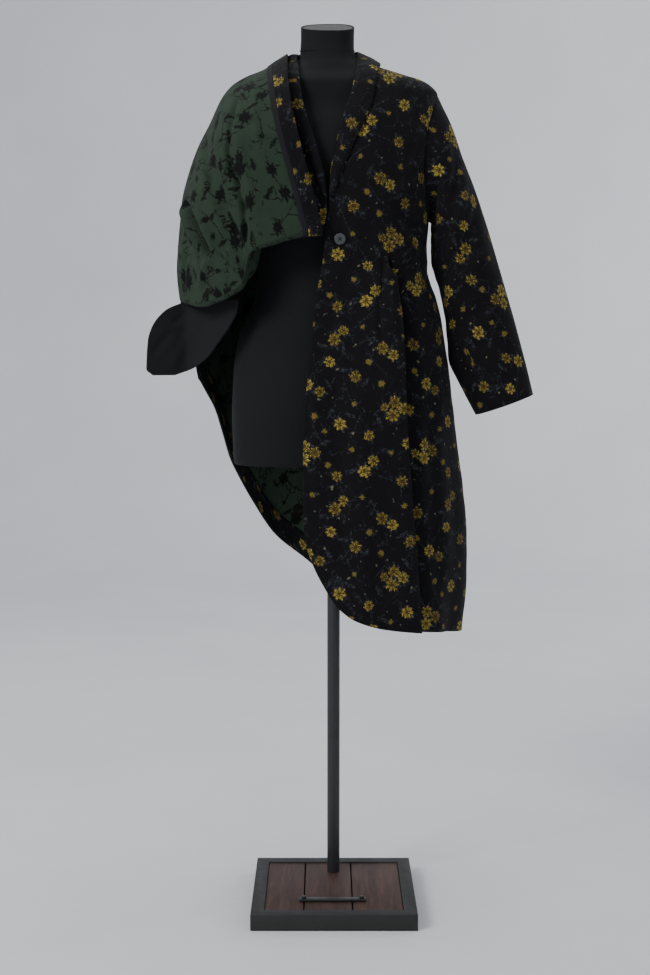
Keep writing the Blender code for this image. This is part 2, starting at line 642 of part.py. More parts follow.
def button(finish):
    """A round button with four holes, lying on the left front."""
    turn = turn_of_x(BUTTON_Z, BUTTON_X)
    out = outward(BUTTON_Z, turn)
    seat = body(BUTTON_Z, turn) + (WALL + LAY) * out
    across = np.cross((0, 0, 1), out)
    across /= np.linalg.norm(across)
    place = np.eye(4)
    place[:3, 0], place[:3, 1], place[:3, 2], place[:3, 3] = across, np.cross(out, across), out, seat
    place = Matrix(place.tolist())
    disc = cylinder(BUTTON_RADIUS, 0, BUTTON_THICK)
    bmesh.ops.transform(disc, matrix=place, verts=disc.verts)
    made = placed("button", disc, finish, smooth=False)
    rim = made.modifiers.new("Rim", "BEVEL")
    rim.width = BUTTON_ROUND
    rim.segments = 2
    rim.limit_method = "ANGLE"
    holes = bmesh.new()
    for step in range(4):
        swing = math.radians(45 + 90 * step)
        hole = bmesh.ops.create_cone(
            holes, cap_ends=True, segments=10, depth=3 * BUTTON_THICK,
            radius1=BUTTON_HOLE_RADIUS, radius2=BUTTON_HOLE_RADIUS,
        )
        aside = (BUTTON_HOLE_RING * math.cos(swing), BUTTON_HOLE_RING * math.sin(swing), BUTTON_THICK / 2)
        bmesh.ops.translate(holes, verts=hole["verts"], vec=aside)
    bmesh.ops.transform(holes, matrix=place, verts=holes.verts)
    cutter = placed("button_holes", holes, finish, smooth=False)
    cutter.hide_render = True
    cutter.display_type = "WIRE"
    cut = made.modifiers.new("Holes", "BOOLEAN")
    cut.operation = "DIFFERENCE"
    cut.object = cutter
    return made


def form_ring(z, left, right, front, back, tilt=0.0):
    ring = []
    power = 2 / SQUARENESS
    for step in range(FORM_SIDES):
        swing = 2 * math.pi * step / FORM_SIDES
        across, deep = math.cos(swing), math.sin(swing)
        x = (left if across >= 0 else right) * math.copysign(abs(across) ** power, across)
        y = (back if deep >= 0 else front) * math.copysign(abs(deep) ** power, deep)
        ring.append(np.array([x, y, z + tilt * y]))
    return ring


def shoulder_ring(z):
    """The form under the coat's shoulders: it carries the cloth along the seam and falls clear beside it."""
    left, right, front, back = along(z, SECTIONS) - WALL
    return form_ring(z, left - SHOULDER_REST, right - SHOULDER_REST, front - FORM_CLEAR, back - FORM_CLEAR)


def dress_form(finish, cap_finish):
    rings = [form_ring(*row) for row in FORM]
    rings += [shoulder_ring(z) for z in SHOULDER_HEIGHTS[:4]]
    rings += [form_ring(*row, tilt=NECK_TILT * part) for row, part in zip(NECK, (0, 0, 0, 0.2, 0.5, 1))]
    top = NECK[-1]
    inner = top[1:] - NECK_RIM
    rings.append(form_ring(top[0], *inner, tilt=NECK_TILT))
    rings.append(form_ring(top[0] - NECK_RECESS, *inner, tilt=NECK_TILT))
    bm = grid_mesh(rings, closed=True)
    bmesh.ops.holes_fill(bm, edges=[edge for edge in bm.edges if edge.is_boundary])
    bmesh.ops.recalc_face_normals(bm, faces=bm.faces)
    placed("dress_form", bm, finish)
    within = inner - GAP
    low = top[0] - NECK_RECESS + GAP
    cap = [form_ring(height, *within, tilt=NECK_TILT) for height in (low, low + CAP_THICK)]
    bm = grid_mesh(cap, closed=True)
    bmesh.ops.holes_fill(bm, edges=[edge for edge in bm.edges if edge.is_boundary])
    bmesh.ops.recalc_face_normals(bm, faces=bm.faces)
    placed("neck_cap", bm, cap_finish, smooth=False)


def block(name, low, high, finish):
    bm = bmesh.new()
    bmesh.ops.create_cube(bm, size=1)
    low, high = np.array(low), np.array(high)
    bmesh.ops.scale(bm, verts=bm.verts, vec=high - low)
    bmesh.ops.translate(bm, verts=bm.verts, vec=(low + high) / 2)
    return placed(name, bm, finish, smooth=False)


def stand(steel, dark_steel, wood):
    half = BASE_SIDE / 2
    tray = block("base_tray", (-half, BASE_Y - half, 0), (half, BASE_Y + half, BASE_HEIGHT), steel)
    inner = half - BASE_RIM
    hollow = block(
        "tray_hollow", (-inner, BASE_Y - inner, BASE_FLOOR), (inner, BASE_Y + inner, 2 * BASE_HEIGHT), steel
    )
    hollow.hide_render = True
    hollow.display_type = "WIRE"
    cut = tray.modifiers.new("Hollow", "BOOLEAN")
    cut.operation = "DIFFERENCE"
    cut.object = hollow
    names = ("plank_right", "plank_middle", "plank_left")
    for name, low_x, high_x in zip(names, PLANK_EDGES, PLANK_EDGES[1:]):
        low_x += GAP if name == names[0] else PLANK_GAP / 2
        high_x -= GAP if name == names[-1] else PLANK_GAP / 2
        block(
            name, (low_x, BASE_Y - inner + GAP, BASE_FLOOR + GAP),
            (high_x, BASE_Y + inner - GAP, PLANK_TOP), wood,
        )
    placed("pole", cylinder(POLE_RADIUS, PLANK_TOP + GAP, FORM[0, 0] - GAP), dark_steel)
    bar_low = PLANK_TOP + GAP
    block(
        "foot_bar", (BAR_X[0], BAR_Y - BAR_WIDTH / 2, bar_low),
        (BAR_X[1], BAR_Y + BAR_WIDTH / 2, bar_low + BAR_THICK), dark_steel,
    )
    for name, x in (("bolt_right", BAR_X[0] + BOLT_INSET), ("bolt_left", BAR_X[1] - BOLT_INSET)):
        low = bar_low + BAR_THICK + GAP
        bolt = cylinder(BOLT_RADIUS, low, low + BOLT_HEIGHT, segments=16)
        bmesh.ops.translate(bolt, verts=bolt.verts, vec=(x, BAR_Y, 0))
        placed(name, bolt, dark_steel)


def main():
    for old in list(bpy.data.objects):
        bpy.data.objects.remove(old)
    flowered = material("flowered_jacquard", (0.012, 0.012, 0.016), 0.85)
    lining = material("pocket_cotton", (0.018, 0.019, 0.021), 0.8)
    form_cloth = material("form_cloth", (0.016, 0.017, 0.018), 0.75)
    steel = material("base_steel", (0.045, 0.050, 0.047), 0.5, 0.6)
    dark_steel = material("pole_steel", (0.030, 0.032, 0.034), 0.4, 0.7)
    wood = material("dark_planks", (0.035, 0.018, 0.014), 0.55)
    horn = material("button_grey", (0.10, 0.10, 0.11), 0.35)

    back_panel(flowered)
    left_front_panel(flowered)
    front_facing(right_front_panel(flowered), flowered)
    back_hem_facing(flowered)
    sleeve("left_sleeve", 1, LEFT_SLEEVE, flowered)
    sleeve("right_sleeve", -1, RIGHT_SLEEVE, flowered)
    collar(flowered)
    pocket_bag(lining)
    button(horn)
    dress_form(form_cloth, dark_steel)
    stand(steel, dark_steel, wood)


main()
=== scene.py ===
"""Looks of the flowered coat on its dress form: cloth, reverse, facings, form, pole and boarded base.

Metres, +Z up, +X is the wearer's left and -Y the front, as in the frame.
"""

import math

import bmesh
import bpy
import numpy as np
from mathutils import Matrix, Vector


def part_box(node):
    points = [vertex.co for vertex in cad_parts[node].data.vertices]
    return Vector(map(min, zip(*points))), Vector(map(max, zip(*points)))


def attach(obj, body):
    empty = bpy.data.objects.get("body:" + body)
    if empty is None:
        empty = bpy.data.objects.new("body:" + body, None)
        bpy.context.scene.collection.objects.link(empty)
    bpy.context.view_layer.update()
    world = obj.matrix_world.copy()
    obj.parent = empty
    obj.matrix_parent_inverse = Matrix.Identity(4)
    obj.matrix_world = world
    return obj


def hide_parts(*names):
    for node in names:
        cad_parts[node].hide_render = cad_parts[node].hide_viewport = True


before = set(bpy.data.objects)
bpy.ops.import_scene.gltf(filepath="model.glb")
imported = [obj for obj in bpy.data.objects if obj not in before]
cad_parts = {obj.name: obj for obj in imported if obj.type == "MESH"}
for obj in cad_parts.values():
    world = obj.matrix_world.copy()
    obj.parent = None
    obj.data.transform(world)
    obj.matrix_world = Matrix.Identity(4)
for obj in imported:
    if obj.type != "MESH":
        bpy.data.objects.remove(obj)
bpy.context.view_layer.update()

# The camera, solved from the corners of the square base
CAMERA_PLACE = (-0.01627, -2.821, 1.0444)
CAMERA_TILT = math.radians(5.48)
CAMERA_LENS = 55.35

# Cloth
WALL = 0.0020
SEAM = 0.0006
LAY = 0.0004
FACING_WALL = 0.0010
BAG_WALL = 0.0030
SQUARENESS = 2.3

# Heights that the panels share
HEM_Z = 0.509
ARMPIT_Z = 1.270
SHOULDER_Z = 1.4985
NECK_Z = 1.560
FRONT_LEVEL_Z = 0.826
RIGHT_SEAM_END_Z = 1.130
ARMHOLE_TURN = math.radians(28)
BACK_LENGTH, LEFT_LENGTH, RIGHT_LENGTH = 0.42, 0.42, 0.25

# The coat's outer face: height, half width on the left, half width on the right, depth in front, depth behind
SECTIONS = np.array([
    (0.509, 0.2370, 0.215, 0.198, 0.192), (0.595, 0.2450, 0.220, 0.192, 0.187),
    (0.683, 0.2460, 0.222, 0.186, 0.182), (0.771, 0.2390, 0.225, 0.180, 0.176),
    (0.882, 0.2260, 0.238, 0.170, 0.167), (0.945, 0.2190, 0.248, 0.163, 0.160),
    (1.003, 0.2135, 0.259, 0.156, 0.154), (1.055, 0.2050, 0.267, 0.149, 0.148),
    (1.085, 0.2007, 0.271, 0.145, 0.144), (1.130, 0.1900, 0.272, 0.140, 0.138),
    (1.152, 0.1810, 0.238, 0.139, 0.135), (1.180, 0.1740, 0.200, 0.137, 0.132),
    (1.225, 0.1730, 0.182, 0.138, 0.129), (1.270, 0.1760, 0.178, 0.139, 0.129),
    (1.350, 0.1800, 0.180, 0.137, 0.130), (1.430, 0.1860, 0.186, 0.123, 0.125),
    (1.4985, 0.1914, 0.190, 0.098, 0.112), (1.5135, 0.1791, 0.179, 0.090, 0.105),
    (1.5211, 0.1669, 0.164, 0.085, 0.100), (1.5299, 0.1363, 0.137, 0.076, 0.094),
    (1.5389, 0.1088, 0.108, 0.068, 0.088), (1.547, 0.0840, 0.087, 0.060, 0.083),
    (1.560, 0.0640, 0.071, 0.050, 0.076),
])
# Left front: height and X of its front edge, which becomes the left side of the V neck
LEFT_EDGE = np.array([
    (0.500, -0.0550), (0.831, -0.0550), (0.911, -0.0535), (0.974, -0.0480), (1.058, -0.0390),
    (1.128, -0.0320), (1.184, -0.0210), (1.235, -0.0166), (1.290, -0.0090), (1.337, -0.0075),
    (1.431, 0.0114), (1.493, 0.0307), (1.535, 0.0396), (1.560, 0.0405),
])
# Right front: height and X of its edge, the other side of the V neck
RIGHT_EDGE = np.array([
    (1.236, -0.0205), (1.287, -0.0125), (1.331, -0.0160), (1.386, -0.0290), (1.4585, -0.0520),
    (1.516, -0.0610), (1.560, -0.0640),
])
# Rounded lower corner of the left front: X and height of the hem
FRONT_HEM = np.array([
    (-0.0550, 0.745), (-0.0510, 0.695), (-0.0440, 0.668), (-0.0240, 0.624), (0.0085, 0.575),
    (0.0390, 0.553), (0.0850, 0.538), (0.1410, 0.529), (0.2000, 0.520), (0.2370, HEM_Z),
])
# Lifted hem of the back: X and height
BACK_HEM = np.array([
    (-0.2720, RIGHT_SEAM_END_Z), (-0.2660, 1.060), (-0.2570, 1.002), (-0.2470, 0.970),
    (-0.2220, 0.915), (-0.2100, 0.868), (-0.1980, 0.818), (-0.1640, 0.737), (-0.1140, 0.663),
    (-0.0580, 0.614), (0.0000, 0.568), (0.0700, 0.535), (0.1500, 0.515), (0.2370, HEM_Z),
])
# Released pleat of the left front: height, X of its fold, how far the fold stands out
PLEAT = np.array([
    (0.500, 0.1520, 0.012), (0.661, 0.1400, 0.015), (0.8745, 0.1237, 0.017), (1.0685, 0.1150, 0.019),
    (1.150, 0.1060, 0.016), (1.195, 0.0930, 0.003), (1.250, 0.0900, 0.000), (1.560, 0.0520, 0.000),
])
# Soft waves of the skirt towards the hem: share of the panel and how far out
BACK_WAVES = np.array([
    (0.00, 0.000), (0.10, 0.008), (0.22, -0.006), (0.36, 0.009), (0.50, -0.008), (0.63, 0.007),
    (0.76, -0.007), (0.88, 0.005), (1.00, 0.000),
])
FRONT_WAVES = np.array([
    (0.00, 0.000), (0.12, 0.007), (0.25, -0.005), (0.34, 0.000), (0.46, 0.000), (0.60, -0.002),
    (0.74, 0.004), (0.88, -0.002), (1.00, 0.000),
])
WAVES_TOP_Z, WAVES_LENGTH = 1.180, 0.500
PLEAT_SHARE = 0.46
PLEAT_STEP = 0.05
PLEAT_HOLLOW = 0.55
PLEAT_SPREAD = 0.22

# Where the right front folds upwards, from its edge round to the side: X, Y, Z of the lowest line
FOLD = np.array([
    (-0.0205, -0.155, 1.2350), (-0.0430, -0.158, 1.2325), (-0.0780, -0.160, 1.2255),
    (-0.1130, -0.158, 1.2150), (-0.1340, -0.154, 1.2090), (-0.1486, -0.148, 1.1930),
    (-0.1545, -0.145, 1.1690), (-0.1620, -0.141, 1.1430), (-0.1800, -0.133, 1.1310),
    (-0.2020, -0.121, 1.1200), (-0.2370, -0.095, 1.1100), (-0.2620, -0.060, 1.1140),
    (-0.2790, -0.025, 1.1210), (-0.2810, -0.003, 1.1240),
])
FOLD_RADIUS = 0.0065
FOLD_STEPS = 8
# Its highest line over the shoulder and down the side: X, Y, Z
RIDGE = np.array([
    (-0.0850, 0.000, 1.5740), (-0.0960, 0.000, 1.5670), (-0.1120, 0.000, 1.5570),
    (-0.1290, 0.000, 1.5460), (-0.1600, 0.002, 1.5340), (-0.1860, 0.004, 1.5190),
    (-0.2060, 0.006, 1.4960), (-0.2290, 0.008, 1.4500), (-0.2510, 0.010, 1.4080),
    (-0.2680, 0.012, 1.3630), (-0.2830, 0.014, 1.3060), (-0.2880, 0.016, 1.2500),
    (-0.2920, 0.016, 1.1700),
])
# Where it ends behind the shoulder: X, Y, Z of the hem
THROWN_HEM = np.array([
    (-0.0950, 0.172, 1.0500), (-0.1350, 0.196, 1.0450), (-0.1800, 0.220, 1.0550),
    (-0.2250, 0.232, 1.0750), (-0.2620, 0.218, 1.0920), (-0.2850, 0.160, 1.1020),
    (-0.2920, 0.100, 1.1100), (-0.2900, 0.040, 1.1180),
])
# Soft creases of the thrown layer: share, how far out in front, how far out at the hem behind
CREASES = np.array([
    (0.00, 0.000, 0.000), (0.13, 0.001, 0.004), (0.27, 0.004, -0.006), (0.35, 0.001, 0.000),
    (0.43, -0.008, 0.009), (0.51, 0.003, 0.002), (0.59, 0.004, -0.008), (0.67, 0.000, 0.000),
    (0.75, -0.007, 0.008), (0.83, 0.002, 0.000), (0.91, 0.002, -0.004), (1.00, 0.000, 0.000),
])
EDGE_BOW, EDGE_BOW_LOW = 0.011, 1.6
# How full the thrown layer is: its rise, its swell in front, its drop and its swell behind
CLIMB_ROUNDS = 1.15
SWELL_STEEP, SWELL_SOFT = 3.6, 0.78
DROP_ROUNDS = 1.7
BEHIND_STEEP, BEHIND_SOFT = 3, 0.6
# The facing and its binding: shares of the right front's width
FACING_SHARE, BINDING_COLUMNS = 0.06, 4
# The band inside the back's hem: its first column, its rows, its lowest and highest line, and how it narrows
HEM_BAND_FROM, HEM_BAND_ROWS = 54, 9
HEM_BAND_LOW, HEM_BAND_HIGH = 0.0005, 0.050
HEM_BAND_NARROWS_FROM, HEM_BAND_NARROW = 0.85, 0.4
HEM_BAND_OUT = -0.0008

# How finely the cloth is made
BACK_COLUMNS, THROWN_COLUMNS = 130, 160
SIDE_COLUMNS, STEP_COLUMNS, FRONT_COLUMNS = 46, 9, 70
SKIRT_ROWS, CHEST_ROWS, SHOULDER_ROWS = 116, 42, 16
RIGHT_SHOULDER_ROWS, RIGHT_CHEST_ROWS, UNDER_ROWS, CLIMB_ROWS, DROP_ROWS = 14, 46, 31, 76, 66
SLEEVE_COLUMNS, SLEEVE_ROWS = 85, 110
COLLAR_ROWS, COLLAR_COLUMNS = 60, 15
BAG_ROWS, BAG_COLUMNS = 44, 48

# Heights of the armhole's points between the armpit and the shoulder
ARMHOLE_LEVELS = (1.293, 1.330, 1.370, 1.410, 1.450, 1.478)
# Sleeves, on the outer face: X and Z of the upper edge, then of the lower edge, Y of the middle, half depth
LEFT_SLEEVE = np.array([
    (0.2070, 1.4685, 0.1815, 1.262, -0.002, 0.066), (0.2226, 1.4320, 0.1805, 1.243, -0.004, 0.066),
    (0.2350, 1.3960, 0.1800, 1.220, -0.006, 0.065), (0.2480, 1.3630, 0.1800, 1.196, -0.008, 0.063),
    (0.2600, 1.3330, 0.1860, 1.172, -0.010, 0.061), (0.2730, 1.2960, 0.1940, 1.148, -0.012, 0.059),
    (0.2860, 1.2570, 0.2010, 1.115, -0.014, 0.057), (0.3020, 1.2050, 0.2065, 1.085, -0.016, 0.055),
    (0.3210, 1.1420, 0.2095, 1.050, -0.018, 0.053), (0.3340, 1.0990, 0.2145, 1.018, -0.020, 0.051),
    (0.3470, 1.0520, 0.2235, 0.988, -0.022, 0.050), (0.3600, 1.0030, 0.2400, 0.955, -0.024, 0.048),
    (0.3730, 0.9515, 0.2625, 0.912, -0.026, 0.047),
])
RIGHT_SLEEVE = np.array([
    (-0.2040, 1.4620, -0.1815, 1.262, 0.004, 0.060), (-0.2160, 1.4250, -0.1815, 1.243, 0.012, 0.058),
    (-0.2280, 1.3880, -0.1830, 1.225, 0.028, 0.055), (-0.2390, 1.3500, -0.1860, 1.200, 0.052, 0.053),
    (-0.2480, 1.3100, -0.1900, 1.170, 0.084, 0.050), (-0.2540, 1.2650, -0.1910, 1.140, 0.122, 0.047),
    (-0.2570, 1.2200, -0.1880, 1.110, 0.151, 0.045), (-0.2580, 1.1700, -0.1820, 1.080, 0.165, 0.044),
    (-0.2560, 1.1200, -0.1740, 1.045, 0.173, 0.043), (-0.2520, 1.0700, -0.1660, 1.010, 0.179, 0.042),
    (-0.2460, 1.0200, -0.1580, 0.975, 0.184, 0.041), (-0.2400, 0.9750, -0.1500, 0.940, 0.186, 0.040),
    (-0.2340, 0.9350, -0.1420, 0.908, 0.190, 0.039),
])
# Shawl collar on the fronts: X and Z of the roll, X and Z of the outer edge
LEFT_COLLAR = np.array([
    (-0.0075, 1.300, 0.0000, 1.312), (-0.0060, 1.337, 0.0130, 1.350), (0.0035, 1.385, 0.0330, 1.395),
    (0.0125, 1.431, 0.0550, 1.440), (0.0225, 1.463, 0.0650, 1.466), (0.0315, 1.493, 0.0715, 1.495),
    (0.0400, 1.535, 0.0760, 1.524), (0.0415, 1.558, 0.0800, 1.539),
])
RIGHT_COLLAR = np.array([
    (-0.0140, 1.300, -0.0205, 1.310), (-0.0180, 1.337, -0.0330, 1.347), (-0.0300, 1.386, -0.0540, 1.395),
    (-0.0430, 1.431, -0.0730, 1.440), (-0.0530, 1.463, -0.0830, 1.466), (-0.0590, 1.493, -0.0880, 1.495),
    (-0.0635, 1.535, -0.0950, 1.524), (-0.0650, 1.556, -0.1000, 1.538),
])
# Behind the neck: X, Y, Z of the roll, then of the outer edge
NECK_COLLAR = np.array([
    (0.0425, -0.020, 1.5705, 0.0840, -0.018, 1.5530), (0.0430, 0.000, 1.5770, 0.0850, 0.012, 1.5540),
    (0.0390, 0.035, 1.5830, 0.0790, 0.057, 1.5580), (0.0180, 0.060, 1.5880, 0.0450, 0.095, 1.5600),
    (-0.0120, 0.068, 1.5900, -0.0120, 0.106, 1.5600), (-0.0430, 0.060, 1.5860, -0.0680, 0.093, 1.5560),
    (-0.0640, 0.035, 1.5780, -0.0890, 0.055, 1.5490), (-0.0675, 0.000, 1.5720, -0.0960, 0.012, 1.5485),
    (-0.0670, -0.020, 1.5660, -0.0970, -0.018, 1.5470),
])
COLLAR_CROWN, NECK_CROWN = 0.003, 0.007
COLLAR_LIFT = 0.0020

# Pocket bag that hangs out: height, X of its left edge, X of its right edge; then its depth: X and Y
POCKET_BAG = np.array([
    (1.124, -0.2690, -0.1730), (1.114, -0.2960, -0.1735), (1.106, -0.3110, -0.1740),
    (1.0785, -0.3340, -0.1870), (1.051, -0.3430, -0.2080), (1.018, -0.3455, -0.2350),
    (0.998, -0.3465, -0.2650), (0.986, -0.3350, -0.2950),
])
POCKET_DEPTH = np.array([
    (-0.3500, -0.0407), (-0.3000, -0.0267), (-0.2750, -0.0187), (-0.2500, -0.0407), (-0.2200, -0.0687),
    (-0.1900, -0.0947), (-0.1650, -0.1067),
])

# Dress form: height, half width on the left, on the right, depth in front, depth behind
FORM = np.array([
    (0.820, 0.182, 0.186, 0.116, 0.123), (0.826, 0.185, 0.188, 0.119, 0.126),
    (0.874, 0.187, 0.190, 0.123, 0.130), (0.918, 0.188, 0.191, 0.125, 0.133),
    (0.961, 0.186, 0.189, 0.122, 0.131), (1.004, 0.183, 0.187, 0.118, 0.127),
    (1.0325, 0.178, 0.182, 0.113, 0.122), (1.064, 0.170, 0.175, 0.108, 0.116),
    (1.089, 0.159, 0.1635, 0.104, 0.111), (1.115, 0.148, 0.152, 0.101, 0.106),
    (1.146, 0.139, 0.143, 0.099, 0.101), (1.180, 0.135, 0.1395, 0.099, 0.098),
    (1.220, 0.140, 0.143, 0.104, 0.099), (1.270, 0.149, 0.151, 0.114, 0.103),
    (1.330, 0.160, 0.161, 0.121, 0.108), (1.390, 0.166, 0.167, 0.117, 0.111),
    (1.440, 0.172, 0.172, 0.103, 0.107), (1.480, 0.175, 0.175, 0.085, 0.099),
    (1.5135, 0.1765, 0.1764, 0.0835, 0.0985), (1.5299, 0.1337, 0.1344, 0.0695, 0.0875),
    (1.5389, 0.1062, 0.1054, 0.0615, 0.0815), (1.550, 0.0640, 0.0740, 0.056, 0.075),
    (1.560, 0.0480, 0.0650, 0.049, 0.066), (1.572, 0.0395, 0.0620, 0.046, 0.060),
    (1.585, 0.0370, 0.0615, 0.044, 0.055), (1.600, 0.0370, 0.0605, 0.043, 0.052),
    (1.6225, 0.0375, 0.0605, 0.043, 0.052),
])
NECK_TILT = 0.33
NECK_TILT_FROM_Z = 1.575
NECK_RIM = 0.0030
NECK_RECESS = 0.0040
# The disc in the neck: gap to the rim, then height under the rim and how far in, from its side to its top
CAP_GAP = 0.0003
CAP_PROFILE = ((-0.0037, 0), (-0.0010, 0), (-0.0007, -0.0006), (-0.0005, -0.0016))
NECK_SEAM_Z, NECK_SEAM_DIP, NECK_SEAM_RADIUS = 1.580, 0.16, 0.0009

# Small parts
TRAY_RIM, TRAY_FLOOR, TRAY_BEVEL = 0.024, 0.003, 0.0011
BOARD_BEVEL, BAR_BEVEL, BOLT_BEVEL = 0.0016, 0.0012, 0.0005
THREAD_RADIUS, THREAD_LENGTH, THREAD_LIFT = 0.00055, 0.0062, 0.0021

# The stage: where the floor turns up, the radius of that turn, its height, its near edge and half its width
SWEEP_Y, SWEEP_RADIUS, STAGE_TOP, STAGE_NEAR, STAGE_HALF = 3.6, 1.6, 7.0, -6, 7


# Curves and the body's surface

def through(table):
    """A smooth curve through the table's rows: a function of its first column that gives the others."""
    knots, values = table[:, 0], table[:, 1:]
    steps = np.diff(knots)[:, None]
    slopes = np.diff(values, axis=0) / steps
    tangents = np.zeros_like(values)
    same = slopes[:-1] * slopes[1:] > 0
    ahead, behind = steps[1:] + 2 * steps[:-1], 2 * steps[1:] + steps[:-1]
    safe = np.where(same, slopes[:-1] * slopes[1:], 1)
    blended = (ahead + behind) * safe / (ahead * slopes[1:] + behind * slopes[:-1] + (~same))
    tangents[1:-1] = np.where(same, blended, 0)
    tangents[0], tangents[-1] = slopes[0], slopes[-1]

    def read(where):
        where = np.clip(np.asarray(where, float), knots[0], knots[-1])
        i = np.clip(np.searchsorted(knots, where) - 1, 0, len(knots) - 2)
        step = (knots[i + 1] - knots[i])[..., None]
        t = (where - knots[i])[..., None] / step
        return (
            values[i] * (1 + 2 * t) * (1 - t) ** 2
            + values[i + 1] * t * t * (3 - 2 * t)
            + step * (tangents[i] * t * (1 - t) ** 2 - tangents[i + 1] * t * t * (1 - t))
        )

    return read


def by_share(points):
    """A smooth curve through a line of points, as a function of the share of its length."""
    lengths = np.concatenate([[0], np.cumsum(np.linalg.norm(np.diff(points, axis=0), axis=1))])
    return through(np.column_stack([lengths / lengths[-1], points]))


section_at = through(SECTIONS)
left_edge_at, right_edge_at = through(LEFT_EDGE), through(RIGHT_EDGE)
front_hem_at, back_hem_at = through(FRONT_HEM), through(BACK_HEM)
pleat_at = through(PLEAT)
back_wave_at, front_wave_at = through(BACK_WAVES), through(FRONT_WAVES)
fold_at, ridge_at, thrown_hem_at = by_share(FOLD), by_share(RIDGE), by_share(THROWN_HEM)
crease_at = through(CREASES)
pocket_depth_at = through(POCKET_DEPTH)
form_at = through(FORM)


def ease(t):
    t = np.clip(t, 0.0, 1.0)
    return t * t * (3 - 2 * t)


def oval(across, deep, left, right, front, back):
    """X and Y on a squared oval whose four half sizes differ."""
    power = 2 / SQUARENESS
    x = np.where(across >= 0, left, right) * np.sign(across) * np.abs(across) ** power
    y = np.where(deep >= 0, back, front) * np.sign(deep) * np.abs(deep) ** power
    return x, y


def body(z, turn):
    """The coat's inner face: turn 0 is the wearer's left side, 90 degrees the back, -90 the front."""
    z, turn = np.broadcast_arrays(np.asarray(z, float), np.asarray(turn, float))
    sizes = np.moveaxis(section_at(z) - WALL, -1, 0)
    x, y = oval(np.cos(turn), np.sin(turn), *sizes)
    return np.stack([x, y, z], axis=-1)


def outward(z, turn):
    step = 1e-3
    low, high = np.maximum(z - step, HEM_Z), np.minimum(z + step, NECK_Z)
    side = body(z, turn + step) - body(z, turn - step)
    rise = body(high, turn) - body(low, turn)
    normal = np.cross(side, rise)
    return normal / np.linalg.norm(normal, axis=-1, keepdims=True)


def turn_of_x(z, x):
    """The turn, on the front, of the point of this X."""
    left, right = np.moveaxis(section_at(z)[..., :2] - WALL, -1, 0)
    part = np.minimum(np.abs(x) / np.where(x >= 0, left, right), 1.0) ** (SQUARENESS / 2)
    return -np.arccos(np.sign(x) * part)


def turn_between(z, start, stop, share):
    """The turn this share of the way from start to stop, measured along the cloth."""
    steps = np.linspace(0, 1, 41)
    turns = start[..., None] + (stop - start)[..., None] * steps
    points = body(np.broadcast_to(z[..., None], turns.shape), turns)
    runs = np.linalg.norm(np.diff(points, axis=-2), axis=-1)
    lengths = np.concatenate([np.zeros(runs.shape[:-1] + (1,)), np.cumsum(runs, axis=-1)], axis=-1)
    goal = share * lengths[..., -1]
    i = np.clip((lengths <= goal[..., None]).sum(axis=-1) - 1, 0, len(steps) - 2)[..., None]
    before = np.take_along_axis(lengths, i, -1)[..., 0]
    after = np.take_along_axis(lengths, i + 1, -1)[..., 0]
    part = (i[..., 0] + (goal - before) / np.maximum(after - before, 1e-9)) / (len(steps) - 1)
    return start + (stop - start) * part


def armhole(z):
    middle, half = (SHOULDER_Z + ARMPIT_Z) / 2, (SHOULDER_Z - ARMPIT_Z) / 2
    return ARMHOLE_TURN * np.sqrt(np.maximum(0.0, 1 - ((z - middle) / half) ** 2))


def hem_fall(z, level, hem):
    return np.where(z >= level, z, level - (level - hem) * (level - z) / (level - HEM_Z))


def troughs(u, v, table):
    """Soft troughs and ridges along short lines: ends (u, v) twice, half width, how far out."""
    out = np.zeros(np.broadcast(u, v).shape)
    for u0, v0, u1, v1, width, rise in table:
        du, dv = u1 - u0, v1 - v0
        length = math.hypot(du, dv)
        along = ((u - u0) * du + (v - v0) * dv) / length ** 2
        aside = ((u - u0) * dv - (v - v0) * du) / length
        fade = ease(along / 0.35 + 0.4) * ease((1 - along) / 0.35 + 0.4)
        out += rise * np.exp(-((aside / width) ** 2)) * fade
    return out


# Creases of the panels: X and Z of both ends, half width, how far out
BACK_CREASES = (
    (-0.10, 1.17, -0.06, 1.30, 0.012, 0.0034), (0.09, 1.14, 0.05, 1.31, 0.011, 0.0038),
    (-0.13, 1.30, -0.02, 1.23, 0.014, -0.0034), (0.12, 1.33, 0.03, 1.26, 0.012, -0.0032),
    (-0.15, 1.42, -0.09, 1.34, 0.014, 0.0034), (0.15, 1.43, 0.10, 1.33, 0.012, 0.0030),
    (-0.17, 0.80, -0.13, 1.10, 0.016, -0.0050), (-0.05, 0.66, -0.04, 1.02, 0.018, 0.0050),
    (0.04, 0.72, 0.02, 1.08, 0.015, -0.0050), (0.13, 0.80, 0.08, 1.12, 0.017, 0.0055),
    (0.17, 1.00, 0.10, 1.18, 0.012, -0.0045), (0.15, 0.90, 0.05, 1.20, 0.010, 0.0034),
)
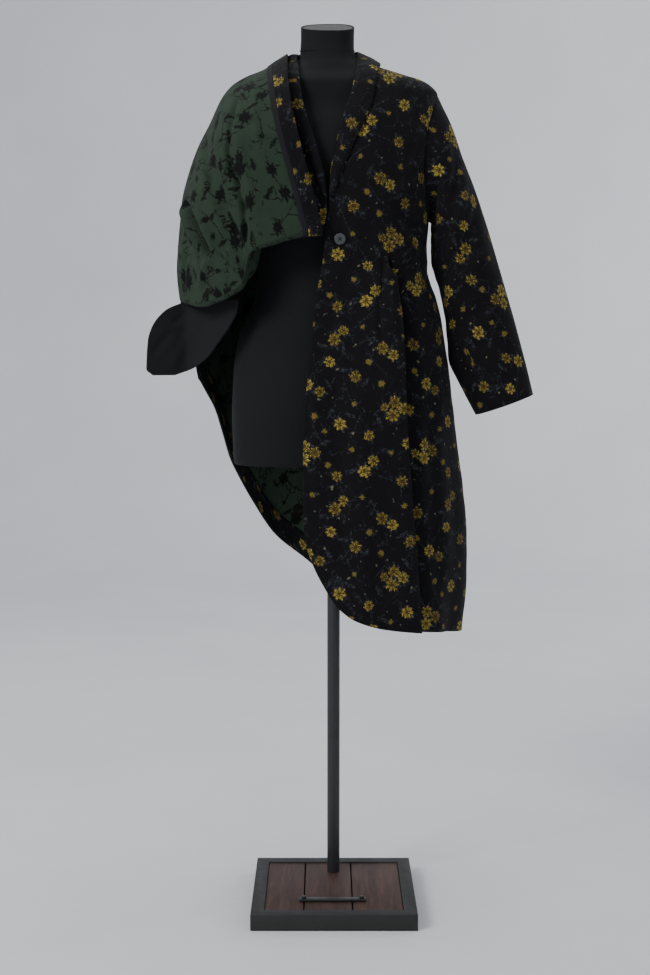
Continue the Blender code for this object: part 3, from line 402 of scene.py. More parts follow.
LEFT_FRONT_CREASES = (
    (0.094, 1.200, 0.113, 1.148, 0.0042, -0.0060), (0.111, 1.152, 0.131, 1.051, 0.0060, -0.0090),
    (0.086, 1.196, 0.079, 1.112, 0.0042, -0.0055), (0.079, 1.122, 0.081, 1.030, 0.0055, -0.0030),
    (0.091, 1.180, 0.104, 1.080, 0.0065, 0.0030), (0.020, 1.212, 0.075, 1.196, 0.008, 0.0016),
    (0.165, 1.225, 0.110, 1.285, 0.008, -0.0036), (0.170, 1.190, 0.120, 1.225, 0.008, 0.0030),
    (0.150, 1.470, 0.125, 1.360, 0.012, -0.0036), (0.060, 1.455, 0.085, 1.345, 0.014, 0.0026),
    (0.150, 1.330, 0.090, 1.300, 0.012, 0.0028), (0.020, 0.620, 0.000, 0.980, 0.014, -0.0042),
    (0.058, 0.580, 0.046, 1.000, 0.016, 0.0038), (0.190, 0.580, 0.168, 0.950, 0.013, -0.0056),
    (0.215, 0.600, 0.186, 1.000, 0.012, 0.0044), (-0.030, 0.760, -0.036, 1.000, 0.010, 0.0024),
    (0.100, 0.600, 0.092, 0.860, 0.014, -0.0030), (-0.010, 1.060, 0.030, 1.180, 0.010, -0.0020),
)
# On the thrown layer: share and climb of both ends, half width, how far out
THROWN_CREASES = (
    (0.665, 0.80, 0.65, 0.68, 0.012, -0.0120), (0.65, 0.72, 0.63, 0.50, 0.014, -0.0300),
    (0.63, 0.55, 0.60, 0.28, 0.015, -0.0220), (0.70, 0.84, 0.66, 0.40, 0.020, 0.0100),
    (0.59, 0.70, 0.55, 0.26, 0.024, 0.0080), (0.62, 0.26, 0.70, 0.12, 0.030, 0.0060),
    (0.22, 0.80, 0.31, 0.56, 0.013, -0.0080), (0.31, 0.60, 0.335, 0.45, 0.012, -0.0100),
    (0.335, 0.50, 0.305, 0.34, 0.012, -0.0090), (0.305, 0.40, 0.315, 0.20, 0.013, -0.0080),
    (0.310, 0.25, 0.345, 0.06, 0.015, -0.0085), (0.25, 0.60, 0.255, 0.20, 0.020, 0.0040),
    (0.37, 0.78, 0.385, 0.34, 0.020, 0.0060), (0.46, 0.95, 0.47, 0.55, 0.022, -0.0065),
    (0.43, 0.28, 0.38, 0.05, 0.020, -0.0065), (0.50, 0.22, 0.44, 0.04, 0.022, 0.0050),
    (0.78, 0.52, 0.86, 0.20, 0.026, -0.0060), (0.13, 0.90, 0.18, 0.45, 0.016, 0.0022),
    (0.15, 1.45, 0.25, 1.95, 0.030, -0.0044), (0.45, 1.30, 0.50, 1.95, 0.030, 0.0055),
    (0.62, 1.30, 0.68, 1.95, 0.030, -0.0060), (0.33, 1.25, 0.36, 1.90, 0.026, 0.0040),
)
# On the sleeves: share round and share along of both ends, half width, how far out
SLEEVE_CREASES = (
    (0.10, 0.30, 0.34, 0.42, 0.035, -0.0055), (0.06, 0.42, 0.36, 0.55, 0.030, 0.0045),
    (0.12, 0.60, 0.40, 0.50, 0.030, -0.0055), (0.20, 0.70, 0.45, 0.62, 0.030, 0.0040),
    (0.10, 0.16, 0.20, 0.30, 0.040, 0.0040), (0.30, 0.10, 0.36, 0.30, 0.040, -0.0055),
    (0.60, 0.35, 0.88, 0.46, 0.035, -0.0055), (0.58, 0.58, 0.85, 0.52, 0.032, 0.0045),
    (0.62, 0.14, 0.68, 0.32, 0.040, -0.0050), (0.72, 0.75, 0.95, 0.66, 0.032, -0.0040),
    (0.14, 0.86, 0.30, 0.78, 0.030, 0.0035), (0.40, 0.90, 0.55, 0.74, 0.030, -0.0036),
)
BAG_CREASES = (
    (-0.205, 1.110, -0.270, 1.045, 0.008, -0.0022), (-0.235, 1.110, -0.320, 1.060, 0.007, 0.0020),
    (-0.255, 1.090, -0.300, 1.000, 0.010, 0.0020), (-0.280, 1.100, -0.338, 1.020, 0.008, -0.0022),
)
# Small unevenness of the heavy cloth: waves per metre across and up, and depth
CRINKLES = ((61, 47, 0.00022), (97, -71, 0.00018), (-43, 113, 0.00020), (151, 37, 0.00012), (23, 29, 0.00045))


def crinkle(u, v):
    out = np.zeros(np.broadcast(u, v).shape)
    for across, up, depth in CRINKLES:
        out += depth * np.sin(across * u * 2 + up * v + across) * np.cos(up * u * 0.7 - across * v * 0.6 + up)
    return out


def level_run(points, heights, turns, reference):
    """Where each point lies on the flat cloth: along the level from the body's middle, and its height."""
    steps = np.hypot(*np.moveaxis(np.diff(points[..., :2], axis=1), -1, 0))
    across = np.concatenate([np.zeros((len(points), 1)), np.cumsum(steps, axis=1)], axis=1)
    middle = -math.pi / 2 if turns[0, reference] < 0 else math.pi / 2
    parts = np.linspace(0, 1, 31)
    swings = middle + (turns[:, reference, None] - middle) * parts
    arc = np.linalg.norm(np.diff(body(heights[:, reference, None], swings), axis=1), axis=-1).sum(axis=1)
    sign = np.sign(turns[:, reference] - middle)
    flow = np.sign(turns[0, -1] - turns[0, 0])
    across = flow * (across - across[:, [reference]]) + (sign * arc)[:, None]
    return np.stack([across, points[..., 2]], axis=-1)


def relaxed_flat(points, rounds=4000, skip=(5, 4)):
    """The sheet laid flat: lengths along, across and aslant are kept as well as they can be."""
    rows = np.unique(np.append(np.arange(0, len(points), skip[0]), len(points) - 1))
    columns = np.unique(np.append(np.arange(0, points.shape[1], skip[1]), points.shape[1] - 1))
    coarse = points[np.ix_(rows, columns)]
    flat = cloth_lengths(coarse, (0, 0))
    shifts = [(0, 1), (1, 0), (1, 1), (1, -1)]

    def pair(grid, down, over):
        rows_here, columns_here = grid.shape[:2]
        if over >= 0:
            return grid[:rows_here - down, :columns_here - over], grid[down:, over:]
        return grid[:rows_here - down, -over:], grid[down:, :columns_here + over]

    lengths = []
    for down, over in shifts:
        near, far = pair(coarse, down, over)
        lengths.append(np.linalg.norm(far - near, axis=-1))
    for _ in range(rounds):
        move, count = np.zeros_like(flat), np.zeros(flat.shape[:2] + (1,))
        for (down, over), length in zip(shifts, lengths):
            near, far = pair(flat, down, over)
            away = far - near
            far_apart = np.maximum(np.linalg.norm(away, axis=-1), 1e-9)
            push = (away * ((far_apart - length) / far_apart)[..., None]) / 2
            move_near, move_far = pair(move, down, over)
            count_near, count_far = pair(count, down, over)
            move_near += push
            move_far -= push
            count_near += 1
            count_far += 1
        flat += move / count
    by_rows = through(np.column_stack([rows, flat.reshape(len(rows), -1)]))(np.arange(len(points)))
    by_rows = by_rows.reshape(len(points), len(columns), 2).transpose(1, 0, 2)
    whole = through(np.column_stack([columns, by_rows.reshape(len(columns), -1)]))(np.arange(points.shape[1]))
    return whole.reshape(points.shape[1], len(points), 2).transpose(1, 0, 2)


def back_grid(shares, heights, out=0.0, plain=False):
    share, z = np.broadcast_arrays(shares[None, :], heights[:, None])
    height = z
    for _ in range(4):
        turn = turn_between(height, armhole(height), math.pi - armhole(height), share)
        x = body(height, turn)[..., 0]
        height = hem_fall(z, ARMPIT_Z, back_hem_at(x)[..., 0])
    turn = turn_between(height, armhole(height), math.pi - armhole(height), share)
    wave = back_wave_at(share)[..., 0] * ease((WAVES_TOP_Z - height) / WAVES_LENGTH)
    if not plain:
        edge = ease(share / 0.06) * ease((1 - share) / 0.06)
        across = body(height, turn)[..., 0]
        wave = wave + edge * (troughs(across, height, BACK_CREASES) + crinkle(across, z))
    points = body(height, turn) + (out + wave)[..., None] * outward(height, turn)
    return points, level_run(points, height, turn, len(shares) // 2)


def pleat_out(share, z):
    depth = pleat_at(z)[..., 1]
    past = (share - PLEAT_SHARE) / (1 - PLEAT_SHARE)
    before = (PLEAT_SHARE - share) / PLEAT_SHARE
    front = depth * (1 - ease(past / 0.6))
    step = depth * (1 - (1 + PLEAT_HOLLOW) * before / PLEAT_STEP)
    hollow = -depth * PLEAT_HOLLOW * (1 - ease((before - PLEAT_STEP) / PLEAT_SPREAD))
    return np.where(past >= 0, front, np.where(before <= PLEAT_STEP, step, hollow))


def left_front_turn(share, z):
    fold = turn_of_x(z, pleat_at(z)[..., 0])
    edge = turn_of_x(z, left_edge_at(z)[..., 0])
    behind = turn_between(z, -armhole(z), fold, np.minimum(share / PLEAT_SHARE, 1))
    ahead = turn_between(z, fold, edge, np.maximum((share - PLEAT_SHARE) / (1 - PLEAT_SHARE), 0))
    return np.where(share <= PLEAT_SHARE, behind, ahead)


def left_front_grid(shares, heights):
    share, z = np.broadcast_arrays(shares[None, :], heights[:, None])
    height = z
    for _ in range(5):
        x = body(height, left_front_turn(share, height))[..., 0]
        height = hem_fall(z, FRONT_LEVEL_Z, front_hem_at(x)[..., 0])
    turn = left_front_turn(share, height)
    wave = front_wave_at(share)[..., 0] * ease((WAVES_TOP_Z - height) / WAVES_LENGTH)
    wave = pleat_out(share, height) + wave
    across = body(height, turn)[..., 0]
    edge = ease(share / 0.06) * ease((1 - share) / 0.04)
    wave = wave + edge * (troughs(across, height, LEFT_FRONT_CREASES) + crinkle(across, z))
    points = body(height, turn) + wave[..., None] * outward(height, turn)
    return points, level_run(points, height, turn, len(shares) // 2)


def right_front_turn(share, z):
    edge = turn_of_x(z, right_edge_at(z)[..., 0])
    return turn_between(z, edge, -math.pi + armhole(z), share)


def fold_centre(shares):
    lowest = fold_at(shares)
    level = np.full(shares.shape, RIGHT_EDGE[0, 0])
    turn = right_front_turn(shares, level)
    out = outward(np.full(shares.shape, ARMPIT_Z), turn) * (1, 1, 0)
    return lowest + (0, 0, FOLD_RADIUS), out / np.linalg.norm(out, axis=-1, keepdims=True)


def thrown_row(shares, climb):
    """One row of the thrown layer: climb 0 is the fold, 1 the ridge over the shoulder, 2 the hem behind."""
    centre, out = fold_centre(shares)
    foot, ridge = centre + FOLD_RADIUS * out, ridge_at(shares)
    if climb <= 1:
        rise = 1 - (1 - climb) ** CLIMB_ROUNDS
        row = foot + (ridge - foot) * rise
        row[:, 1] = ridge[:, 1] + (foot[:, 1] - ridge[:, 1]) * (1 - climb ** SWELL_STEEP) ** SWELL_SOFT
        row[:, 0] -= EDGE_BOW * (1 - shares) ** 2 * math.sin(math.pi * rise ** EDGE_BOW_LOW)
        row += (crease_at(shares)[:, 0] * math.sin(math.pi * climb))[:, None] * out
    else:
        hem, drop = thrown_hem_at(shares), climb - 1
        row = ridge + (hem - ridge) * drop ** DROP_ROUNDS
        row[:, 1] = ridge[:, 1] + (hem[:, 1] - ridge[:, 1]) * (1 - (1 - drop) ** BEHIND_STEEP) ** BEHIND_SOFT
        row[:, 1] += crease_at(shares)[:, 1] * ease(drop)
    return row


def right_front_rows(shares):
    """Rows of the right front from the neck down, round the fold, up, over and down behind."""
    inner = shares * (1 - SEAM / 2 / RIGHT_LENGTH)
    levels = np.concatenate([
        np.linspace(NECK_Z, SHOULDER_Z, RIGHT_SHOULDER_ROWS),
        np.linspace(SHOULDER_Z, ARMPIT_Z, RIGHT_CHEST_ROWS)[1:],
    ])
    inner_grid, level_grid = np.broadcast_arrays(inner[None, :], levels[:, None])
    turns = right_front_turn(inner_grid, level_grid)
    chest = body(level_grid, turns)
    rows = list(chest)
    flat = level_run(chest, level_grid, turns, 0)
    centre, out = fold_centre(shares)
    start = centre - FOLD_RADIUS * out
    shift = start - body(start[:, 2], right_front_turn(inner, start[:, 2]))
    for part in np.linspace(0, 1, UNDER_ROWS)[1:]:
        z = ARMPIT_Z + (start[:, 2] - ARMPIT_Z) * part
        rows.append(body(z, right_front_turn(inner, z)) + shift * ease(part))
    for swing in np.linspace(0, math.pi, FOLD_STEPS + 2)[1:-1]:
        rows.append(centre + FOLD_RADIUS * (-math.cos(swing) * out + np.array([0, 0, -math.sin(swing)])))
    climbs = np.concatenate([np.linspace(0, 1, CLIMB_ROWS)[:-1], 1 + np.linspace(0, 1, DROP_ROWS) ** 1.3])
    thrown = np.array([thrown_row(shares, climb) for climb in climbs])
    normal = grid_normals(thrown)
    share, climb = np.broadcast_arrays(shares[None, :], climbs[:, None])
    fade = ease(climb / 0.12) * ease(share / 0.05) * ease((0.96 - share) / 0.12)
    fade *= ease(np.abs(climb - 1) / 0.14)
    relief = troughs(share, climb, THROWN_CREASES) + crinkle(share * 0.45, climb * 0.35)
    thrown -= (relief * fade)[..., None] * normal
    under = np.array(rows[len(levels) - 1:])
    flat_under = cloth_lengths(under, (0, 0)) * (1, -1)
    flat_under += flat[-1, len(shares) // 2] - flat_under[0, len(shares) // 2]
    return np.concatenate([np.array(rows), thrown]), thrown, np.concatenate([flat, flat_under[1:]])


def grid_normals(points):
    """Unit normals of a grid of points, across its columns and then along its rows."""
    normal = np.cross(np.gradient(points, axis=1), np.gradient(points, axis=0))
    return normal / np.maximum(np.linalg.norm(normal, axis=-1, keepdims=True), 1e-12)


def sleeve_grid(side, table, rounds, lengths):
    """Rings round the arm from the armhole to the cuff, each a closed row."""
    heights = np.concatenate([[ARMPIT_Z], ARMHOLE_LEVELS, [SHOULDER_Z]])
    top_down, bottom_up = heights[::-1], heights[1:-1]
    first = []
    for levels, sign in ((top_down, -1), (bottom_up, 1)):
        turn = sign * armhole(levels) if side > 0 else sign * (math.pi - armhole(levels))
        first.append(body(levels, turn) + (WALL + LAY) * outward(levels, turn))
    first = np.concatenate(first)
    first = np.concatenate([first, first[:1]])
    ring_share = np.linspace(0, 1, len(first))
    at_armhole = through(np.column_stack([ring_share, first]))(rounds)
    swing = 2 * math.pi * rounds
    rings = [at_armhole]
    for top_x, top_z, low_x, low_z, y, deep in table:
        top, low = np.array([top_x, y, top_z]), np.array([low_x, y, low_z])
        middle, half = (top + low) / 2, (top - low) / 2
        half *= 1 - WALL / np.linalg.norm(half)
        depth = np.array([0, -(deep - WALL), 0])
        rings.append(middle + np.cos(swing)[:, None] * half + np.sin(swing)[:, None] * depth)
    rings = np.array(rings)
    ring_at = np.linspace(0, 1, len(rings))
    flat = through(np.column_stack([ring_at, rings.reshape(len(rings), -1)]))(lengths)
    points = flat.reshape(len(lengths), len(rounds), 3)
    normal = grid_normals(points) * (-side)
    around, along = np.broadcast_arrays(rounds[None, :], lengths[:, None])
    relief = troughs(around, along, SLEEVE_CREASES)
    relief = relief + crinkle(np.sin(swing)[None, :] * 0.06, lengths[:, None] * 0.6)
    relief = relief * ease(along / 0.08) * ease(around / 0.05) * ease((1 - around) / 0.05)
    return points + relief[..., None] * normal


def collar_grid(rows_each, crosses):
    lines = []
    for table in (LEFT_COLLAR, RIGHT_COLLAR):
        rows = by_share(table)(np.linspace(0, 1, rows_each))
        roll, edge = rows[:, None, :2], rows[:, None, 2:]
        where = roll + (edge - roll) * crosses[None, :, None]
        x, z = where[..., 0], where[..., 1]
        turn = turn_of_x(z, x)
        lift = WALL + COLLAR_LIFT + COLLAR_CROWN * np.sin(math.pi * crosses)[None, :]
        lines.append(body(z, turn) + lift[..., None] * outward(z, turn))
    knots = np.linspace(0, 1, len(NECK_COLLAR))
    rows = through(np.column_stack([knots, NECK_COLLAR]))(np.linspace(0, 1, rows_each))
    roll, edge = rows[:, None, :3], rows[:, None, 3:]
    behind = roll + (edge - roll) * crosses[None, :, None]
    crown = COLLAR_CROWN + NECK_CROWN * ease(-rows[:, None, 0] / 0.05)
    behind[..., 2] += crown * np.sin(math.pi * crosses)[None, :]
    return np.concatenate([lines[0], behind, lines[1][::-1]])


# Nodes of the materials

class Shader:
    """A material's node tree, with short ways to add its nodes."""

    def __init__(self, name, roughness=0.8, **sockets):
        self.material = bpy.data.materials.new(name)
        self.material.use_nodes = True
        self.tree = self.material.node_tree
        self.surface = self.tree.nodes["Principled BSDF"]
        self.set("Roughness", roughness)
        for socket, value in sockets.items():
            self.set(socket.replace("_", " "), value)

    def set(self, socket, value):
        self.surface.inputs[socket].default_value = value

    def node(self, kind, *links, **settings):
        made = self.tree.nodes.new(kind)
        for key, value in settings.items():
            setattr(made, key, value)
        for place, link in enumerate(links):
            self.feed(made.inputs[place], link)
        return made

    def feed(self, socket, link):
        if link is None:
            return
        if hasattr(link, "is_output"):
            self.tree.links.new(link, socket)
        else:
            socket.default_value = link

    def math(self, operation, *links, clamp=False):
        return self.node("ShaderNodeMath", *links, operation=operation, use_clamp=clamp).outputs[0]

    def vector(self, operation, *links):
        return self.node("ShaderNodeVectorMath", *links, operation=operation).outputs[0]

    def mix(self, factor, low, high):
        made = self.tree.nodes.new("ShaderNodeMix")
        made.data_type = "RGBA"
        self.feed(made.inputs[0], factor)
        self.feed(made.inputs[6], low)
        self.feed(made.inputs[7], high)
        return made.outputs[2]

    def noise(self, vector, scale, detail=3.0, roughness=0.55):
        made = self.node("ShaderNodeTexNoise", vector)
        made.inputs["Scale"].default_value = scale
        made.inputs["Detail"].default_value = detail
        made.inputs["Roughness"].default_value = roughness
        return made.outputs[0]

    def ramp(self, value, *stops):
        made = self.node("ShaderNodeValToRGB", value)
        ramp = made.color_ramp
        while len(ramp.elements) < len(stops):
            ramp.elements.new(0.5)
        for element, (place, colour) in zip(ramp.elements, stops):
            element.position = place
            element.color = colour
        return made.outputs[0]

    def bump(self, height, strength, distance):
        made = self.tree.nodes.new("ShaderNodeBump")
        made.inputs["Strength"].default_value = strength
        made.inputs["Distance"].default_value = distance
        self.tree.links.new(height, made.inputs["Height"])
        self.tree.links.new(made.outputs[0], self.surface.inputs["Normal"])

    def object_place(self):
        return self.node("ShaderNodeTexCoord").outputs["Object"]

    def cloth_place(self):
        made = self.node("ShaderNodeUVMap")
        made.uv_map = "cloth"
        return made.outputs[0]


def rgb(red, green, blue):
    """A colour given as it looks on a screen, 0 to 255, in linear light."""
    def linear(part):
        part /= 255
        return part / 12.92 if part <= 0.04045 else ((part + 0.055) / 1.055) ** 2.4
    return (linear(red), linear(green), linear(blue), 1.0)


# The repeat of the flowered cloth, in metres: X, Y, radius and turn of each bloom
REPEAT = (0.250, 0.300)
BLOOMS = (
    (0.040, 0.050, 0.0125, 10), (0.060, 0.062, 0.0115, 40), (0.042, 0.073, 0.0110, 75),
    (0.022, 0.058, 0.0085, 20), (0.150, 0.030, 0.0120, 20), (0.166, 0.048, 0.0105, 55),
    (0.200, 0.128, 0.0125, 0), (0.220, 0.140, 0.0110, 30), (0.204, 0.151, 0.0115, 62),
    (0.186, 0.142, 0.0080, 35), (0.106, 0.112, 0.0120, 15), (0.048, 0.182, 0.0120, 48),
    (0.070, 0.170, 0.0100, 5), (0.134, 0.196, 0.0110, 33), (0.182, 0.246, 0.0120, 22),
    (0.201, 0.234, 0.0105, 50), (0.024, 0.252, 0.0115, 12), (0.096, 0.262, 0.0120, 64),
    (0.112, 0.277, 0.0095, 30), (0.100, 0.020, 0.0100, 44), (0.228, 0.078, 0.0115, 8),
    (0.012, 0.136, 0.0105, 27), (0.158, 0.092, 0.0095, 52), (0.088, 0.222, 0.0100, 18),
    (0.232, 0.204, 0.0105, 70), (0.218, 0.012, 0.0100, 36),
)
BUDS = (
    (0.084, 0.040, 0.0055), (0.128, 0.068, 0.0050), (0.180, 0.184, 0.0060), (0.078, 0.100, 0.0050),
    (0.024, 0.206, 0.0055), (0.158, 0.222, 0.0060), (0.222, 0.268, 0.0055), (0.056, 0.288, 0.0050),
    (0.198, 0.062, 0.0045), (0.146, 0.284, 0.0045), (0.060, 0.126, 0.0060), (0.132, 0.148, 0.0045),
)
# Its leaves and stems: X, Y, half length, half width, turn, bend
LEAVES = (
    (0.022, 0.034, 0.014, 0.0040, 35, 6), (0.078, 0.080, 0.013, 0.0036, -20, -6),
    (0.030, 0.094, 0.012, 0.0034, 70, 5), (0.128, 0.030, 0.012, 0.0034, 150, 5),
    (0.186, 0.066, 0.013, 0.0038, 20, -8), (0.176, 0.118, 0.014, 0.0036, 65, 8),
    (0.238, 0.118, 0.012, 0.0034, -40, 6), (0.226, 0.166, 0.013, 0.0036, 50, -6),
    (0.124, 0.128, 0.013, 0.0036, 25, 6), (0.088, 0.132, 0.012, 0.0034, 115, -5),
    (0.028, 0.160, 0.013, 0.0036, 20, 7), (0.086, 0.182, 0.012, 0.0034, 60, -7),
    (0.112, 0.208, 0.013, 0.0036, 5, 6), (0.152, 0.186, 0.012, 0.0032, -50, 5),
    (0.164, 0.260, 0.013, 0.0036, 120, -6), (0.218, 0.216, 0.013, 0.0036, -30, 6),
    (0.042, 0.240, 0.012, 0.0034, -65, 6), (0.076, 0.250, 0.012, 0.0034, 15, -6),
    (0.112, 0.246, 0.012, 0.0032, 85, 6), (0.006, 0.276, 0.012, 0.0034, 40, 6),
)
STEMS = (
    (0.060, 0.104, 0.046, 0.0011, 68, 4), (0.020, 0.130, 0.042, 0.0010, 100, -5),
    (0.160, 0.090, 0.044, 0.0011, 75, -5), (0.236, 0.180, 0.046, 0.0011, 95, 5),
    (0.124, 0.160, 0.042, 0.0011, 62, 5), (0.072, 0.220, 0.046, 0.0011, 120, -4),
    (0.176, 0.212, 0.040, 0.0010, 48, 6), (0.216, 0.290, 0.044, 0.0011, 80, 5),
    (0.100, 0.016, 0.046, 0.0011, 30, -5), (0.140, 0.290, 0.036, 0.0010, 140, 6),
    (0.192, 0.016, 0.038, 0.0010, 15, 5), (0.030, 0.014, 0.036, 0.0010, 60, -6),
)


def group(name, inputs, outputs):
    tree = bpy.data.node_groups.new(name, "ShaderNodeTree")
    for socket, kind in inputs:
        tree.interface.new_socket(socket, in_out="INPUT", socket_type=kind)
    for socket in outputs:
        tree.interface.new_socket(socket, in_out="OUTPUT", socket_type="NodeSocketFloat")
    return tree


class GroupNodes(Shader):
    """The same short ways, inside a node group."""

    def __init__(self, tree):
        self.tree = tree
        self.inputs = tree.nodes.new("NodeGroupInput").outputs
        self.outputs = tree.nodes.new("NodeGroupOutput").inputs


def local_place(nodes):
    """The point as seen from a motif's middle, wherever in the repeat it is, turned with the motif."""
    away = nodes.vector("SUBTRACT", nodes.inputs[0], nodes.inputs[1])
    half = (REPEAT[0] / 2, REPEAT[1] / 2, 1.0)
    wrapped = nodes.vector("WRAP", away, half, tuple(-size for size in half))
    turned = nodes.node("ShaderNodeVectorRotate", rotation_type="Z_AXIS")
    nodes.tree.links.new(wrapped, turned.inputs["Vector"])
    nodes.tree.links.new(nodes.inputs[3], turned.inputs["Angle"])
    return nodes.node("ShaderNodeSeparateXYZ", turned.outputs[0]).outputs[:2]


def bloom_group():
    """A ragged bloom of seven petals, over 0.1, and at 0.05 the pointed leaves that stand out behind it."""
    sockets = [("Place", "NodeSocketVector"), ("Middle", "NodeSocketVector"), ("Radius", "NodeSocketFloat"),
               ("Turn", "NodeSocketFloat"), ("Glow", "NodeSocketFloat")]
    tree = group("bloom", sockets, ["Tone"])
    nodes = GroupNodes(tree)
    x, y = local_place(nodes)
    around = nodes.math("ARCTAN2", y, x)
    far = nodes.math("SQRT", nodes.math("ADD", nodes.math("MULTIPLY", x, x), nodes.math("MULTIPLY", y, y)))
    far = nodes.math("DIVIDE", far, nodes.inputs[2])
    lobes = nodes.math("COSINE", nodes.math("MULTIPLY", around, 7.0))
    reach = nodes.math("MULTIPLY_ADD", lobes, 0.10, 0.87)
    inside = nodes.math("LESS_THAN", far, reach)
    petal = nodes.math("MULTIPLY_ADD", lobes, 0.20, 0.66)
    heart = nodes.math("SMOOTH_MIN", nodes.math("MULTIPLY_ADD", far, 1.3, 0.18), petal, 0.1)
    heart = nodes.math("MULTIPLY", heart, nodes.inputs[4])
    narrow = nodes.math("COSINE", nodes.math("MULTIPLY_ADD", around, 9.0, 1.3))
    broad = nodes.math("COSINE", nodes.math("MULTIPLY_ADD", around, 2.0, 0.7))
    spike = nodes.math("MAXIMUM", nodes.math("MULTIPLY", nodes.math("ADD", narrow, broad), 0.5), 0.0)
    spray = nodes.math("LESS_THAN", far, nodes.math("MULTIPLY_ADD", spike, 0.9, 0.80))
    spray = nodes.math("MULTIPLY", spray, 0.05)
    nodes.feed(nodes.outputs[0], nodes.math("MAXIMUM", nodes.math("MULTIPLY", inside, heart), spray))
    return tree


def leaf_group():
    """A pointed leaf, or a stem when it is narrow: 1 inside it."""
    sockets = [("Place", "NodeSocketVector"), ("Middle", "NodeSocketVector"), ("Length", "NodeSocketFloat"),
               ("Turn", "NodeSocketFloat"), ("Width", "NodeSocketFloat"), ("Bend", "NodeSocketFloat")]
    tree = group("leaf", sockets, ["Tone"])
    nodes = GroupNodes(tree)
    x, y = local_place(nodes)
    squared = nodes.math("MULTIPLY", x, x)
    y = nodes.math("SUBTRACT", y, nodes.math("MULTIPLY", squared, nodes.inputs[5]))
    share = nodes.math("DIVIDE", squared, nodes.math("MULTIPLY", nodes.inputs[2], nodes.inputs[2]))
    wide = nodes.math("MULTIPLY", nodes.math("SUBTRACT", 1.0, share), nodes.inputs[4])
    nodes.feed(nodes.outputs[0], nodes.math("LESS_THAN", nodes.math("ABSOLUTE", y), wide))
    return tree


def motif_group(bloom, leaf):
    """The whole repeat: the tone of the blooms, and the leaves with the stems."""
    tree = group("repeat", [("Place", "NodeSocketVector")], ["Blooms", "Buds", "Leaves", "Stems"])
    nodes = GroupNodes(tree)
    place = nodes.inputs[0]

    def gathered(kind, rows, fill):
        most = None
        for row in rows:
            made = nodes.node("ShaderNodeGroup", node_tree=kind)
            nodes.tree.links.new(place, made.inputs[0])
            made.inputs[1].default_value = (row[0], row[1], 0)
            made.inputs[2].default_value = row[2]
            fill(made, row)
            most = made.outputs[0] if most is None else nodes.math("MAXIMUM", most, made.outputs[0])
        return most

    def bloom_fill(made, row):
        made.inputs[3].default_value = math.radians(row[3]) if len(row) > 3 else row[0] * 40
        made.inputs[4].default_value = 0.70 + 0.30 * math.sin(row[0] * 900 + row[1] * 700) ** 2

    def leaf_fill(made, row):
        made.inputs[3].default_value = math.radians(row[4])
        made.inputs[4].default_value = row[3]
        made.inputs[5].default_value = row[5]

    nodes.feed(nodes.outputs[0], gathered(bloom, BLOOMS, bloom_fill))
    nodes.feed(nodes.outputs[1], gathered(bloom, BUDS, bloom_fill))
    nodes.feed(nodes.outputs[2], gathered(leaf, LEAVES, leaf_fill))
    nodes.feed(nodes.outputs[3], gathered(leaf, STEMS, leaf_fill))
    return tree


PETALS_FROM = 0.08
MUSTARD_PALE, MUSTARD, MUSTARD_DEEP = rgb(172, 157, 78), rgb(126, 110, 46), rgb(62, 52, 26)
HEART_BROWN = rgb(52, 40, 20)
GROUND_BLACK, GROUND_SHADE = rgb(19, 18, 22), rgb(11, 11, 14)
LEAF_GREY, FLECK_PALE = rgb(70, 76, 84), rgb(120, 118, 92)
GREEN_GROUND, GREEN_LIGHT = rgb(26, 38, 31), rgb(50, 64, 51)
GREEN_MOTIF, STEM_BROWN = rgb(8, 9, 10), rgb(17, 16, 13)


def branches(shader, place):
    """Thin crooked branches between the flowers, broken off here and there."""
    sway = shader.math("MULTIPLY_ADD", shader.noise(place, 70, 2.0), 0.030, -0.015)
    bent = shader.vector("ADD", place, shader.node("ShaderNodeCombineXYZ", sway, sway).outputs[0])
    cells = shader.node("ShaderNodeTexVoronoi", bent, feature="DISTANCE_TO_EDGE")
    cells.inputs["Scale"].default_value = 30
    kept = shader.math("MULTIPLY_ADD", shader.noise(place, 34, 1.0), 12.0, -5.9, clamp=True)
    return shader.math("MULTIPLY", shader.math("LESS_THAN", cells.outputs[0], 0.030), kept)


def woven_place(shader, repeat):
    """The cloth's own coordinates, made a little uneven as threads are, and the repeat read there."""
    place = shader.cloth_place()
    aside = shader.math("MULTIPLY_ADD", shader.noise(place, 330, 2.0), 0.0120, -0.0060)
    turned = shader.vector("ADD", place, (3.1, 1.7, 0.0))
    upward = shader.math("MULTIPLY_ADD", shader.noise(turned, 330, 2.0), 0.0120, -0.0060)
    uneven = shader.vector("ADD", place, shader.node("ShaderNodeCombineXYZ", aside, upward).outputs[0])
    made = shader.node("ShaderNodeGroup", node_tree=repeat)
    shader.tree.links.new(uneven, made.inputs[0])
    blooms, buds, leaves, stems = made.outputs
    sprays = shader.math("GREATER_THAN", shader.math("MAXIMUM", blooms, buds), 0.04)
    stems = shader.math("MAXIMUM", stems, branches(shader, place))
    return place, blooms, buds, shader.math("MAXIMUM", leaves, sprays), stems


def weave_height(shader, place):
    """Crossed threads a millimetre apart with the crinkled relief of a heavy jacquard."""
    x, y = shader.node("ShaderNodeSeparateXYZ", place).outputs[:2]
    weft = shader.math("SINE", shader.math("MULTIPLY", y, 5200.0))
    warp = shader.math("SINE", shader.math("MULTIPLY", x, 4300.0))
    threads = shader.math("MULTIPLY", shader.math("ADD", weft, warp), 0.10)
    return shader.math("ADD", threads, shader.noise(place, 130, 4.0, 0.6))


